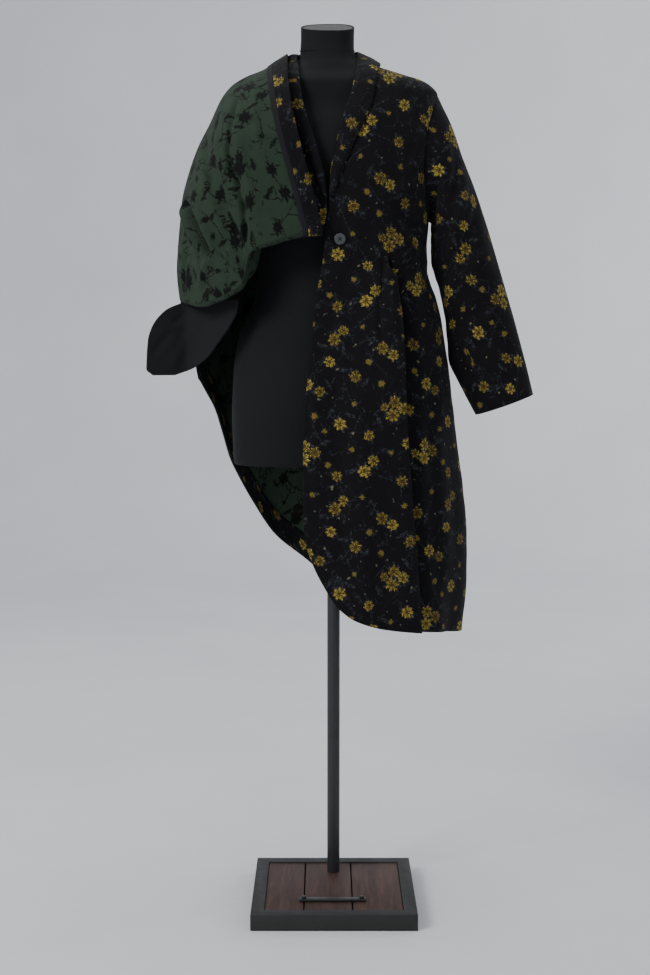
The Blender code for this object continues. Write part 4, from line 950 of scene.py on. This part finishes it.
def flowered_cloth(repeat):
    shader = Shader("flowered_jacquard", roughness=0.86, Sheen_Weight=0.03)
    shader.set("Specular IOR Level", 0.10)
    place, blooms, buds, leaves, stems = woven_place(shader, repeat)
    patch = shader.noise(place, 26, 3.0)
    grain = shader.noise(place, 480, 3.0)
    ground = shader.mix(patch, GROUND_SHADE, GROUND_BLACK)
    broken = shader.math("MULTIPLY_ADD", shader.noise(place, 210, 2.0), 5.0, -2.2, clamp=True)
    faint = shader.math("MAXIMUM", leaves, shader.math("MULTIPLY", stems, 0.75))
    faint = shader.math("MULTIPLY", faint, grain)
    faint = shader.math("MULTIPLY", faint, shader.math("MULTIPLY_ADD", broken, 0.8, 0.1), clamp=True)
    colour = shader.mix(faint, ground, LEAF_GREY)
    fleck = shader.math("MULTIPLY_ADD", shader.noise(place, 95, 1.0), 22.0, -15.6, clamp=True)
    colour = shader.mix(shader.math("MULTIPLY", fleck, 0.6), colour, FLECK_PALE)
    tone = shader.math("MULTIPLY_ADD", grain, 1.80, shader.math("SUBTRACT", blooms, 0.95))
    petals = shader.ramp(
        tone, (0.10, HEART_BROWN), (0.40, MUSTARD_DEEP), (0.62, MUSTARD), (0.95, MUSTARD_PALE)
    )
    colour = shader.mix(shader.math("GREATER_THAN", blooms, PETALS_FROM), colour, petals)
    bud = shader.mix(grain, MUSTARD_DEEP, MUSTARD)
    colour = shader.mix(shader.math("GREATER_THAN", buds, PETALS_FROM), colour, bud)
    shader.tree.links.new(colour, shader.surface.inputs["Base Color"])
    shader.bump(weave_height(shader, place), 0.55, 0.0016)
    return shader.material


def green_reverse(repeat):
    shader = Shader("green_reverse", roughness=0.88, Sheen_Weight=0.03)
    shader.set("Specular IOR Level", 0.10)
    place, blooms, buds, leaves, stems = woven_place(shader, repeat)
    patch = shader.noise(place, 30, 4.0)
    grain = shader.noise(place, 700, 2.0)
    both = shader.math("MULTIPLY_ADD", grain, 0.5, shader.math("MULTIPLY", patch, 0.5), clamp=True)
    ground = shader.mix(both, GREEN_GROUND, GREEN_LIGHT)
    colour = shader.mix(shader.math("MULTIPLY", stems, 0.95), ground, STEM_BROWN)
    flowers = shader.math("GREATER_THAN", shader.math("MAXIMUM", blooms, buds), PETALS_FROM)
    flowers = shader.math("MULTIPLY", flowers, 0.95)
    dark = shader.math("MAXIMUM", shader.math("MULTIPLY", leaves, 0.88), flowers)
    colour = shader.mix(dark, colour, GREEN_MOTIF)
    shader.tree.links.new(colour, shader.surface.inputs["Base Color"])
    shader.bump(weave_height(shader, place), 0.5, 0.0014)
    return shader.material


def plain_cloth(name, dark, light, scale, roughness=0.85, strength=0.35, distance=0.0008):
    shader = Shader(name, roughness=roughness, Sheen_Weight=0.02)
    shader.set("Specular IOR Level", 0.10)
    place = shader.object_place()
    thread = shader.math("MULTIPLY", shader.noise(place, scale, 2.0), 0.4)
    tone = shader.math("MULTIPLY_ADD", shader.noise(place, 14, 3.0), 0.6, thread, clamp=True)
    shader.tree.links.new(shader.mix(tone, dark, light), shader.surface.inputs["Base Color"])
    shader.bump(shader.noise(place, scale, 3.0), strength, distance)
    return shader.material


def steel_finish(name, dark, light, roughness, metallic):
    shader = Shader(name, roughness=roughness, Metallic=metallic)
    place = shader.object_place()
    cloud = shader.noise(place, 22, 5.0, 0.65)
    shader.tree.links.new(shader.mix(cloud, dark, light), shader.surface.inputs["Base Color"])
    rough = shader.math("MULTIPLY_ADD", shader.noise(place, 60, 4.0), 0.25, roughness - 0.12)
    shader.tree.links.new(rough, shader.surface.inputs["Roughness"])
    shader.bump(shader.noise(place, 260, 4.0), 0.12, 0.0006)
    return shader.material


def board_finish():
    """Dark boards with their grain along Y."""
    shader = Shader("dark_planks", roughness=0.6)
    shader.set("Specular IOR Level", 0.3)
    place = shader.object_place()
    stretched = shader.vector("MULTIPLY", place, (1.0, 0.09, 1.0))
    grain = shader.noise(stretched, 130, 6.0, 0.65)
    broad = shader.noise(stretched, 18, 3.0)
    tone = shader.math("MULTIPLY_ADD", grain, 0.7, shader.math("MULTIPLY", broad, 0.35), clamp=True)
    colour = shader.ramp(tone, (0.28, rgb(30, 22, 20)), (0.52, rgb(62, 44, 38)), (0.74, rgb(88, 64, 54)))
    shader.tree.links.new(colour, shader.surface.inputs["Base Color"])
    shader.bump(grain, 0.35, 0.0010)
    return shader.material


# Pieces

def finish_piece(name, bm, materials, node=None, smooth=True):
    mesh = bpy.data.meshes.new(name)
    bm.to_mesh(mesh)
    bm.free()
    for material in materials:
        mesh.materials.append(material)
    if smooth:
        mesh.shade_smooth()
    piece = bpy.data.objects.new(name, mesh)
    bpy.context.scene.collection.objects.link(piece)
    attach(piece, "root")
    if node:
        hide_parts(node)
    return piece


def cloth_lengths(points, start):
    """Across and along each point lies on the cloth, in metres, from the middle column and the first row."""
    across = np.linalg.norm(np.diff(points, axis=1), axis=-1)
    across = np.concatenate([np.zeros((len(points), 1)), np.cumsum(across, axis=1)], axis=1)
    across -= across[:, [across.shape[1] // 2]]
    along = np.linalg.norm(np.diff(points, axis=0), axis=-1)
    along = np.concatenate([np.zeros((1, points.shape[1])), np.cumsum(along, axis=0)], axis=0)
    return np.stack([across + start[0], along + start[1]], axis=-1)


def sheet_mesh(points, where):
    rows, columns = points.shape[:2]
    bm = bmesh.new()
    bmesh.ops.create_grid(bm, x_segments=columns - 1, y_segments=rows - 1, size=1)
    for vert, point in zip(bm.verts, points.reshape(-1, 3)):
        vert.co = point
    bm.verts.index_update()
    layer = bm.loops.layers.uv.new("cloth")
    where = where.reshape(-1, 2)
    for face in bm.faces:
        for loop in face.loops:
            loop[layer].uv = where[loop.vert.index]
    return bm


def cloth_piece(
    name, points, materials, node, start=(0, 0), thick=WALL, side=1, closed=False,
    flat=None,
):
    """A panel of cloth: its first material faces out, its second is the reverse, its third the cut edge."""
    flat = cloth_lengths(points, (0, 0)) if flat is None else flat
    bm = sheet_mesh(points, flat + np.array(start))
    if closed:
        bmesh.ops.remove_doubles(bm, verts=bm.verts, dist=1e-6)
    piece = finish_piece(name, bm, materials, node)
    wall = piece.modifiers.new("wall", "SOLIDIFY")
    wall.thickness = thick
    wall.offset = side
    wall.use_even_offset = False
    wall.material_offset = min(1, len(materials) - 1)
    wall.material_offset_rim = min(2, len(materials) - 1)
    return piece


def back_shares():
    """The columns' shares of the back, with the seam's gap kept at both sides."""
    edge = SEAM / 2 / BACK_LENGTH
    return edge + (1 - 2 * edge) * np.linspace(0, 1, BACK_COLUMNS)


def left_front_shares():
    """The columns' shares of the left front, from its edge to the side seam, close together at the pleat."""
    edge = SEAM / 2 / LEFT_LENGTH
    near = PLEAT_SHARE * (1 - PLEAT_STEP)
    shares = np.concatenate([
        np.linspace(0, near, SIDE_COLUMNS)[:-1], np.linspace(near, PLEAT_SHARE, STEP_COLUMNS)[:-1],
        np.linspace(PLEAT_SHARE, 1, FRONT_COLUMNS),
    ])
    return (edge + (1 - edge) * shares)[::-1]


def panel_levels():
    return np.concatenate([
        np.linspace(HEM_Z, ARMPIT_Z, SKIRT_ROWS)[:-1],
        np.linspace(ARMPIT_Z, SHOULDER_Z, CHEST_ROWS)[:-1],
        np.linspace(SHOULDER_Z, NECK_Z, SHOULDER_ROWS),
    ])


def back_and_left(both):
    points, flat = back_grid(back_shares(), panel_levels())
    back = cloth_piece("back_panel", points, both, "back", start=(0.03, 0.02), flat=flat)
    points, flat = left_front_grid(left_front_shares(), panel_levels())
    left = cloth_piece("left_front_panel", points, both, "left_front", start=(0.10, 0.11), flat=flat)


def right_front(both, facings):
    """The right front, and the facing and binding that its throw shows along the edge."""
    points, thrown, flat = right_front_rows(np.linspace(0, 1, THROWN_COLUMNS + 1))
    flat = np.concatenate([flat, relaxed_flat(thrown)])
    right = cloth_piece(
        "right_front_panel", points[::-1, ::-1], both, "right_front", start=(0.06, 0.0), flat=flat[::-1, ::-1]
    )

    columns = int(round(FACING_SHARE * THROWN_COLUMNS)) + 1
    round_fold = points[len(points) - len(thrown) - FOLD_STEPS // 2:]
    laid = (round_fold - LAY * grid_normals(round_fold))[::-1, ::-1]
    facing = cloth_piece(
        "front_facing_band", laid[:, -columns:], facings, "front_facing", start=(0.17, 0.20),
        thick=FACING_WALL, side=-1,
    )
    beside = laid[:, -columns - BINDING_COLUMNS:-columns + 1]
    binding = cloth_piece(
        "facing_binding", beside, facings[2:], None, thick=FACING_WALL * 0.7, side=-1
    )


def hem_facing(facings):
    shares = back_shares()[HEM_BAND_FROM:]
    rows = []
    low = back_grid(shares, np.array([HEM_Z]), plain=True)[0][0]
    for rise in np.linspace(HEM_BAND_LOW, HEM_BAND_HIGH, HEM_BAND_ROWS):
        height = low[:, 2] + rise * (1 - HEM_BAND_NARROW * ease((shares - HEM_BAND_NARROWS_FROM) / 0.1))
        z = ARMPIT_Z - (ARMPIT_Z - HEM_Z) * (ARMPIT_Z - height) / (ARMPIT_Z - low[:, 2])
        row = [back_grid(shares[i:i + 1], z[i:i + 1], out=HEM_BAND_OUT)[0][0, 0] for i in range(len(shares))]
        rows.append(row)
    points = np.array(rows)
    facing = cloth_piece(
        "back_hem_band", points, facings, "back_hem_facing", start=(0.05, 0.21), thick=FACING_WALL, side=-1
    )


def sleeve_pieces(both):
    rounds = (np.linspace(0, 1, SLEEVE_COLUMNS) + 0.5) % 1
    lengths = np.linspace(0, 1, SLEEVE_ROWS)
    for name, side, table, start in (
        ("left_sleeve", 1, LEFT_SLEEVE, (0.02, 0.07)), ("right_sleeve", -1, RIGHT_SLEEVE, (0.12, 0.03)),
    ):
        points = sleeve_grid(side, table, rounds, lengths)
        flat = relaxed_flat(points)
        sleeve = cloth_piece(
            name + "_tube", points, both, name, start=start, side=-side, closed=True, flat=flat
        )


def collar_piece(facings):
    points = collar_grid(COLLAR_ROWS, np.linspace(0, 1, COLLAR_COLUMNS))
    flat = relaxed_flat(points, skip=(4, 2))
    collar = cloth_piece("shawl_collar", points, facings, "collar", start=(0.14, 0.05), flat=flat)


def pocket_piece(cotton):
    levels = np.linspace(POCKET_BAG[0, 0], POCKET_BAG[-1, 0], BAG_ROWS)[::-1]
    edges = by_share(POCKET_BAG)(np.linspace(1, 0, BAG_ROWS))
    rows = []
    for level, left, right in edges:
        x = left + (right - left) * np.linspace(0, 1, BAG_COLUMNS)
        y = pocket_depth_at(x)[:, 0]
        rows.append(np.stack([x, y, np.full(x.shape, level)], axis=-1))
    points = np.array(rows)
    inner = ease((1.108 - points[..., 2]) / 0.02)
    relief = troughs(points[..., 0], points[..., 2], BAG_CREASES) * inner
    points = points + relief[..., None] * grid_normals(points)
    bag = cloth_piece(
        "pocket_bag_cloth", points, [cotton], "pocket_bag", thick=BAG_WALL, side=-1
    )


def button_thread(thread):
    """Two crossed stitches through the button's four holes."""
    low, high = (Vector(corner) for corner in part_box("button"))
    middle = (low + high) / 2
    turn = turn_of_x(np.array(middle.z), np.array(middle.x))
    out = Vector(outward(np.array(middle.z), turn).tolist())
    across = Vector((0, 0, 1)).cross(out).normalized()
    up = out.cross(across)
    bm = bmesh.new()
    for swing in (45, 135):
        run = (across * math.cos(math.radians(swing)) + up * math.sin(math.radians(swing))).normalized()
        made = bmesh.ops.create_cone(
            bm, cap_ends=True, segments=10, radius1=THREAD_RADIUS, radius2=THREAD_RADIUS, depth=THREAD_LENGTH
        )
        spin = Vector((0, 0, 1)).rotation_difference(run).to_matrix().to_4x4()
        place = Matrix.Translation(middle + out * THREAD_LIFT)
        bmesh.ops.transform(bm, matrix=place @ spin, verts=made["verts"])
    finish_piece("button_thread", bm, [thread])


def form_ring(row, swing, tilt):
    x, y = oval(np.cos(swing), np.sin(swing), *row[1:])
    return np.stack([x, y, np.full(x.shape, row[0]) + tilt * y], axis=-1)


def ring_mesh(rings, capped=True):
    """A closed shell through rings whose last point is their first."""
    points = np.array(rings)
    bm = sheet_mesh(points, cloth_lengths(points, (0, 0)))
    bmesh.ops.remove_doubles(bm, verts=bm.verts, dist=1e-6)
    if capped:
        bmesh.ops.holes_fill(bm, edges=[edge for edge in bm.edges if edge.is_boundary])
    bmesh.ops.recalc_face_normals(bm, faces=bm.faces)
    return bm


def form_piece(cloth, swing):
    low, rounded, top = FORM[0, 0], FORM[1, 0], FORM[-1]
    heights = np.concatenate([np.linspace(low, rounded, 4)[:-1], np.linspace(rounded, top[0], 150)])
    rings = []
    for height in heights:
        tilt = NECK_TILT * float(ease((height - NECK_TILT_FROM_Z) / (top[0] - NECK_TILT_FROM_Z)))
        rings.append(form_ring([height, *form_at(height)], swing, tilt))
    for drop in (0, NECK_RECESS):
        rings.append(form_ring([top[0] - drop, *(top[1:] - NECK_RIM)], swing, NECK_TILT))
    form = finish_piece("form_body", ring_mesh(rings), [cloth], "dress_form")
    form.data.set_sharp_from_angle(angle=math.radians(50))


def neck_cap(finish, swing):
    top = FORM[-1]
    within = top[1:] - NECK_RIM - CAP_GAP
    rings = [form_ring([top[0] + rise, *(within + grow)], swing, NECK_TILT) for rise, grow in CAP_PROFILE]
    cap = finish_piece("neck_cap_disc", ring_mesh(rings), [finish], "neck_cap")
    cap.data.set_sharp_from_angle(angle=math.radians(30))


def neck_seam(finish, swing):
    """The sewn join round the base of the neck, lower in front than behind."""
    rings = []
    for step in np.linspace(0, 2 * math.pi, 9):
        x, y = oval(np.cos(swing), np.sin(swing), *form_at(NECK_SEAM_Z))
        grow = 1 + (0.0004 + NECK_SEAM_RADIUS * math.cos(step)) / np.hypot(x, y)
        z = NECK_SEAM_Z + NECK_SEAM_DIP * y + NECK_SEAM_RADIUS * math.sin(step)
        rings.append(np.stack([x * grow, y * grow, z], axis=-1))
    finish_piece("neck_seam", ring_mesh(rings, capped=False), [finish])


def block(node):
    """A block that fills a node's box."""
    low, high = (Vector(corner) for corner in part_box(node))
    bm = bmesh.new()
    bmesh.ops.create_cube(bm, size=1)
    bmesh.ops.scale(bm, verts=bm.verts, vec=high - low)
    bmesh.ops.translate(bm, verts=bm.verts, vec=(low + high) / 2)
    return bm


def rounded(bm, edges, bevel, segments=3):
    bmesh.ops.bevel(bm, geom=edges, offset=bevel, segments=segments, profile=0.5, affect="EDGES", material=-1)


def tray_mesh():
    low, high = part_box("base_tray")
    bm = block("base_tray")
    bm.faces.ensure_lookup_table()
    lid = max(bm.faces, key=lambda face: face.calc_center_median().z)
    bmesh.ops.inset_region(bm, faces=[lid], thickness=TRAY_RIM, use_even_offset=True)
    sunk = bmesh.ops.extrude_face_region(bm, geom=[lid])
    verts = [item for item in sunk["geom"] if isinstance(item, bmesh.types.BMVert)]
    bmesh.ops.delete(bm, geom=[lid], context="FACES_ONLY")
    bmesh.ops.translate(bm, verts=verts, vec=(0, 0, TRAY_FLOOR - (high[2] - low[2])))
    rounded(bm, [edge for edge in bm.edges if edge.calc_face_angle(0) > 1], TRAY_BEVEL)
    bmesh.ops.recalc_face_normals(bm, faces=bm.faces)
    return bm


def rod(node, segments, taper=1.0):
    """An upright rod as wide and as tall as a node's box, with its middle at the origin; and its place."""
    low, high = (Vector(corner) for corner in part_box(node))
    radius = (high.x - low.x) / 2
    bm = bmesh.new()
    bmesh.ops.create_cone(
        bm, cap_ends=True, segments=segments, radius1=radius, radius2=radius * taper, depth=high.z - low.z
    )
    return bm, (low + high) / 2


def stand_pieces(pole_steel, base_steel, boards):
    finish_piece("tray_frame", tray_mesh(), [base_steel], "base_tray")
    for side in ("left", "middle", "right"):
        plank = "plank_" + side
        bm = block(plank)
        rounded(bm, bm.edges, BOARD_BEVEL)
        finish_piece("board_" + side, bm, [boards], plank)
    bm, middle = rod("pole", 64)
    bmesh.ops.translate(bm, verts=bm.verts, vec=middle)
    pole = finish_piece("pole_tube", bm, [pole_steel], "pole")
    pole.data.set_sharp_from_angle(angle=math.radians(40))
    bm = block("foot_bar")
    rounded(bm, bm.edges, BAR_BEVEL)
    finish_piece("foot_bar_strip", bm, [pole_steel], "foot_bar")
    for name in ("bolt_left", "bolt_right"):
        bm, middle = rod(name, 6, taper=0.97)
        rounded(bm, bm.edges, BOLT_BEVEL, segments=2)
        bmesh.ops.translate(bm, verts=bm.verts, vec=middle)
        finish_piece(name + "_head", bm, [pole_steel], name)


# Floor, light and camera

def stage_set():
    """A pale floor that sweeps up into the backdrop."""
    shader = Shader("pale_floor", roughness=0.9)
    place = shader.object_place()
    cloud = shader.noise(place, 1.6, 5.0, 0.6)
    colour = shader.mix(cloud, rgb(206, 207, 212), rgb(226, 227, 231))
    shader.tree.links.new(colour, shader.surface.inputs["Base Color"])
    bm = bmesh.new()
    profile = [(-STAGE_HALF, STAGE_NEAR, 0)]
    for swing in np.linspace(0, math.pi / 2, 13):
        across, up = SWEEP_RADIUS * math.sin(swing), SWEEP_RADIUS * (1 - math.cos(swing))
        profile.append((-STAGE_HALF, SWEEP_Y + across, up))
    profile.append((-STAGE_HALF, SWEEP_Y + SWEEP_RADIUS, STAGE_TOP))
    verts = [bm.verts.new(point) for point in profile]
    edges = [bm.edges.new(pair) for pair in zip(verts, verts[1:])]
    swept = bmesh.ops.extrude_edge_only(bm, edges=edges)
    moved = [item for item in swept["geom"] if isinstance(item, bmesh.types.BMVert)]
    bmesh.ops.translate(bm, verts=moved, vec=(2 * STAGE_HALF, 0, 0))
    bmesh.ops.recalc_face_normals(bm, faces=bm.faces)
    mesh = bpy.data.meshes.new("floor")
    bm.to_mesh(mesh)
    bm.free()
    mesh.materials.append(shader.material)
    mesh.shade_smooth()
    floor = bpy.data.objects.new("floor", mesh)
    bpy.context.scene.collection.objects.link(floor)


def area_light(name, place, aim, size, power, colour=(1, 1, 1)):
    light = bpy.data.lights.new(name, "AREA")
    light.shape = "RECTANGLE"
    light.size, light.size_y = size
    light.energy = power
    light.color = colour
    made = bpy.data.objects.new(name, light)
    made.location = place
    made.rotation_euler = (Vector(aim) - Vector(place)).to_track_quat("-Z", "Y").to_euler()
    bpy.context.scene.collection.objects.link(made)


def light_and_camera():
    world = bpy.data.worlds.new("studio")
    bpy.context.scene.world = world
    world.use_nodes = True
    world.node_tree.nodes["Background"].inputs["Color"].default_value = (0.93, 0.95, 1.0, 1)
    world.node_tree.nodes["Background"].inputs["Strength"].default_value = 0.55
    area_light("key", (-2.8, -2.6, 3.0), (0, 0, 1.0), (1.6, 1.6), 132, (1.0, 0.98, 0.96))
    area_light("fill", (2.8, -2.6, 1.8), (0, 0, 1.0), (2.4, 2.4), 5, (0.95, 0.97, 1.0))
    area_light("behind", (4.6, 2.4, 2.4), (1.8, 5.2, 1.4), (2.0, 2.6), 110)
    area_light("top", (0, 0.8, 4.2), (0, 0.8, 0), (3.0, 3.0), 52)
    data = bpy.data.cameras.new("camera")
    data.lens = CAMERA_LENS
    data.sensor_width = 36
    camera = bpy.data.objects.new("camera", data)
    camera.location = CAMERA_PLACE
    camera.rotation_euler = (math.pi / 2 - CAMERA_TILT, 0, 0)
    bpy.context.scene.collection.objects.link(camera)
    bpy.context.scene.camera = camera


def dress_button(finish):
    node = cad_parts["button"]
    node.data.materials.clear()
    node.data.materials.append(finish)


def main():
    light_and_camera()
    stage_set()
    repeat = motif_group(bloom_group(), leaf_group())
    outer, reverse = flowered_cloth(repeat), green_reverse(repeat)
    edge = plain_cloth("cut_edge", rgb(22, 22, 24), rgb(34, 35, 38), 600)
    cotton = plain_cloth("pocket_cotton", rgb(24, 25, 27), rgb(31, 32, 34), 800)
    form_cloth = plain_cloth("form_cloth", rgb(21, 22, 24), rgb(26, 27, 29), 1100, roughness=0.8)
    seam = plain_cloth("form_seam", rgb(12, 12, 13), rgb(18, 18, 20), 900)
    pole_steel = steel_finish("pole_steel", rgb(42, 44, 46), rgb(58, 60, 62), 0.42, 0.55)
    cap_finish = steel_finish("cap_black", rgb(14, 14, 15), rgb(22, 22, 23), 0.5, 0.1)
    base_steel = steel_finish("base_steel", rgb(26, 27, 26), rgb(40, 42, 40), 0.6, 0.2)
    horn = steel_finish("button_grey", rgb(46, 48, 52), rgb(72, 75, 79), 0.3, 0.0)
    both, facings = [outer, reverse, edge], [outer, outer, edge]
    back_and_left(both)
    right_front(both, facings)
    hem_facing(facings)
    sleeve_pieces(both)
    collar_piece(facings)
    pocket_piece(cotton)
    button_thread(edge)
    dress_button(horn)
    swing = np.linspace(0, 2 * math.pi, 121)
    form_piece(form_cloth, swing)
    neck_cap(cap_finish, swing)
    neck_seam(seam, swing)
    stand_pieces(pole_steel, base_steel, board_finish())


main()
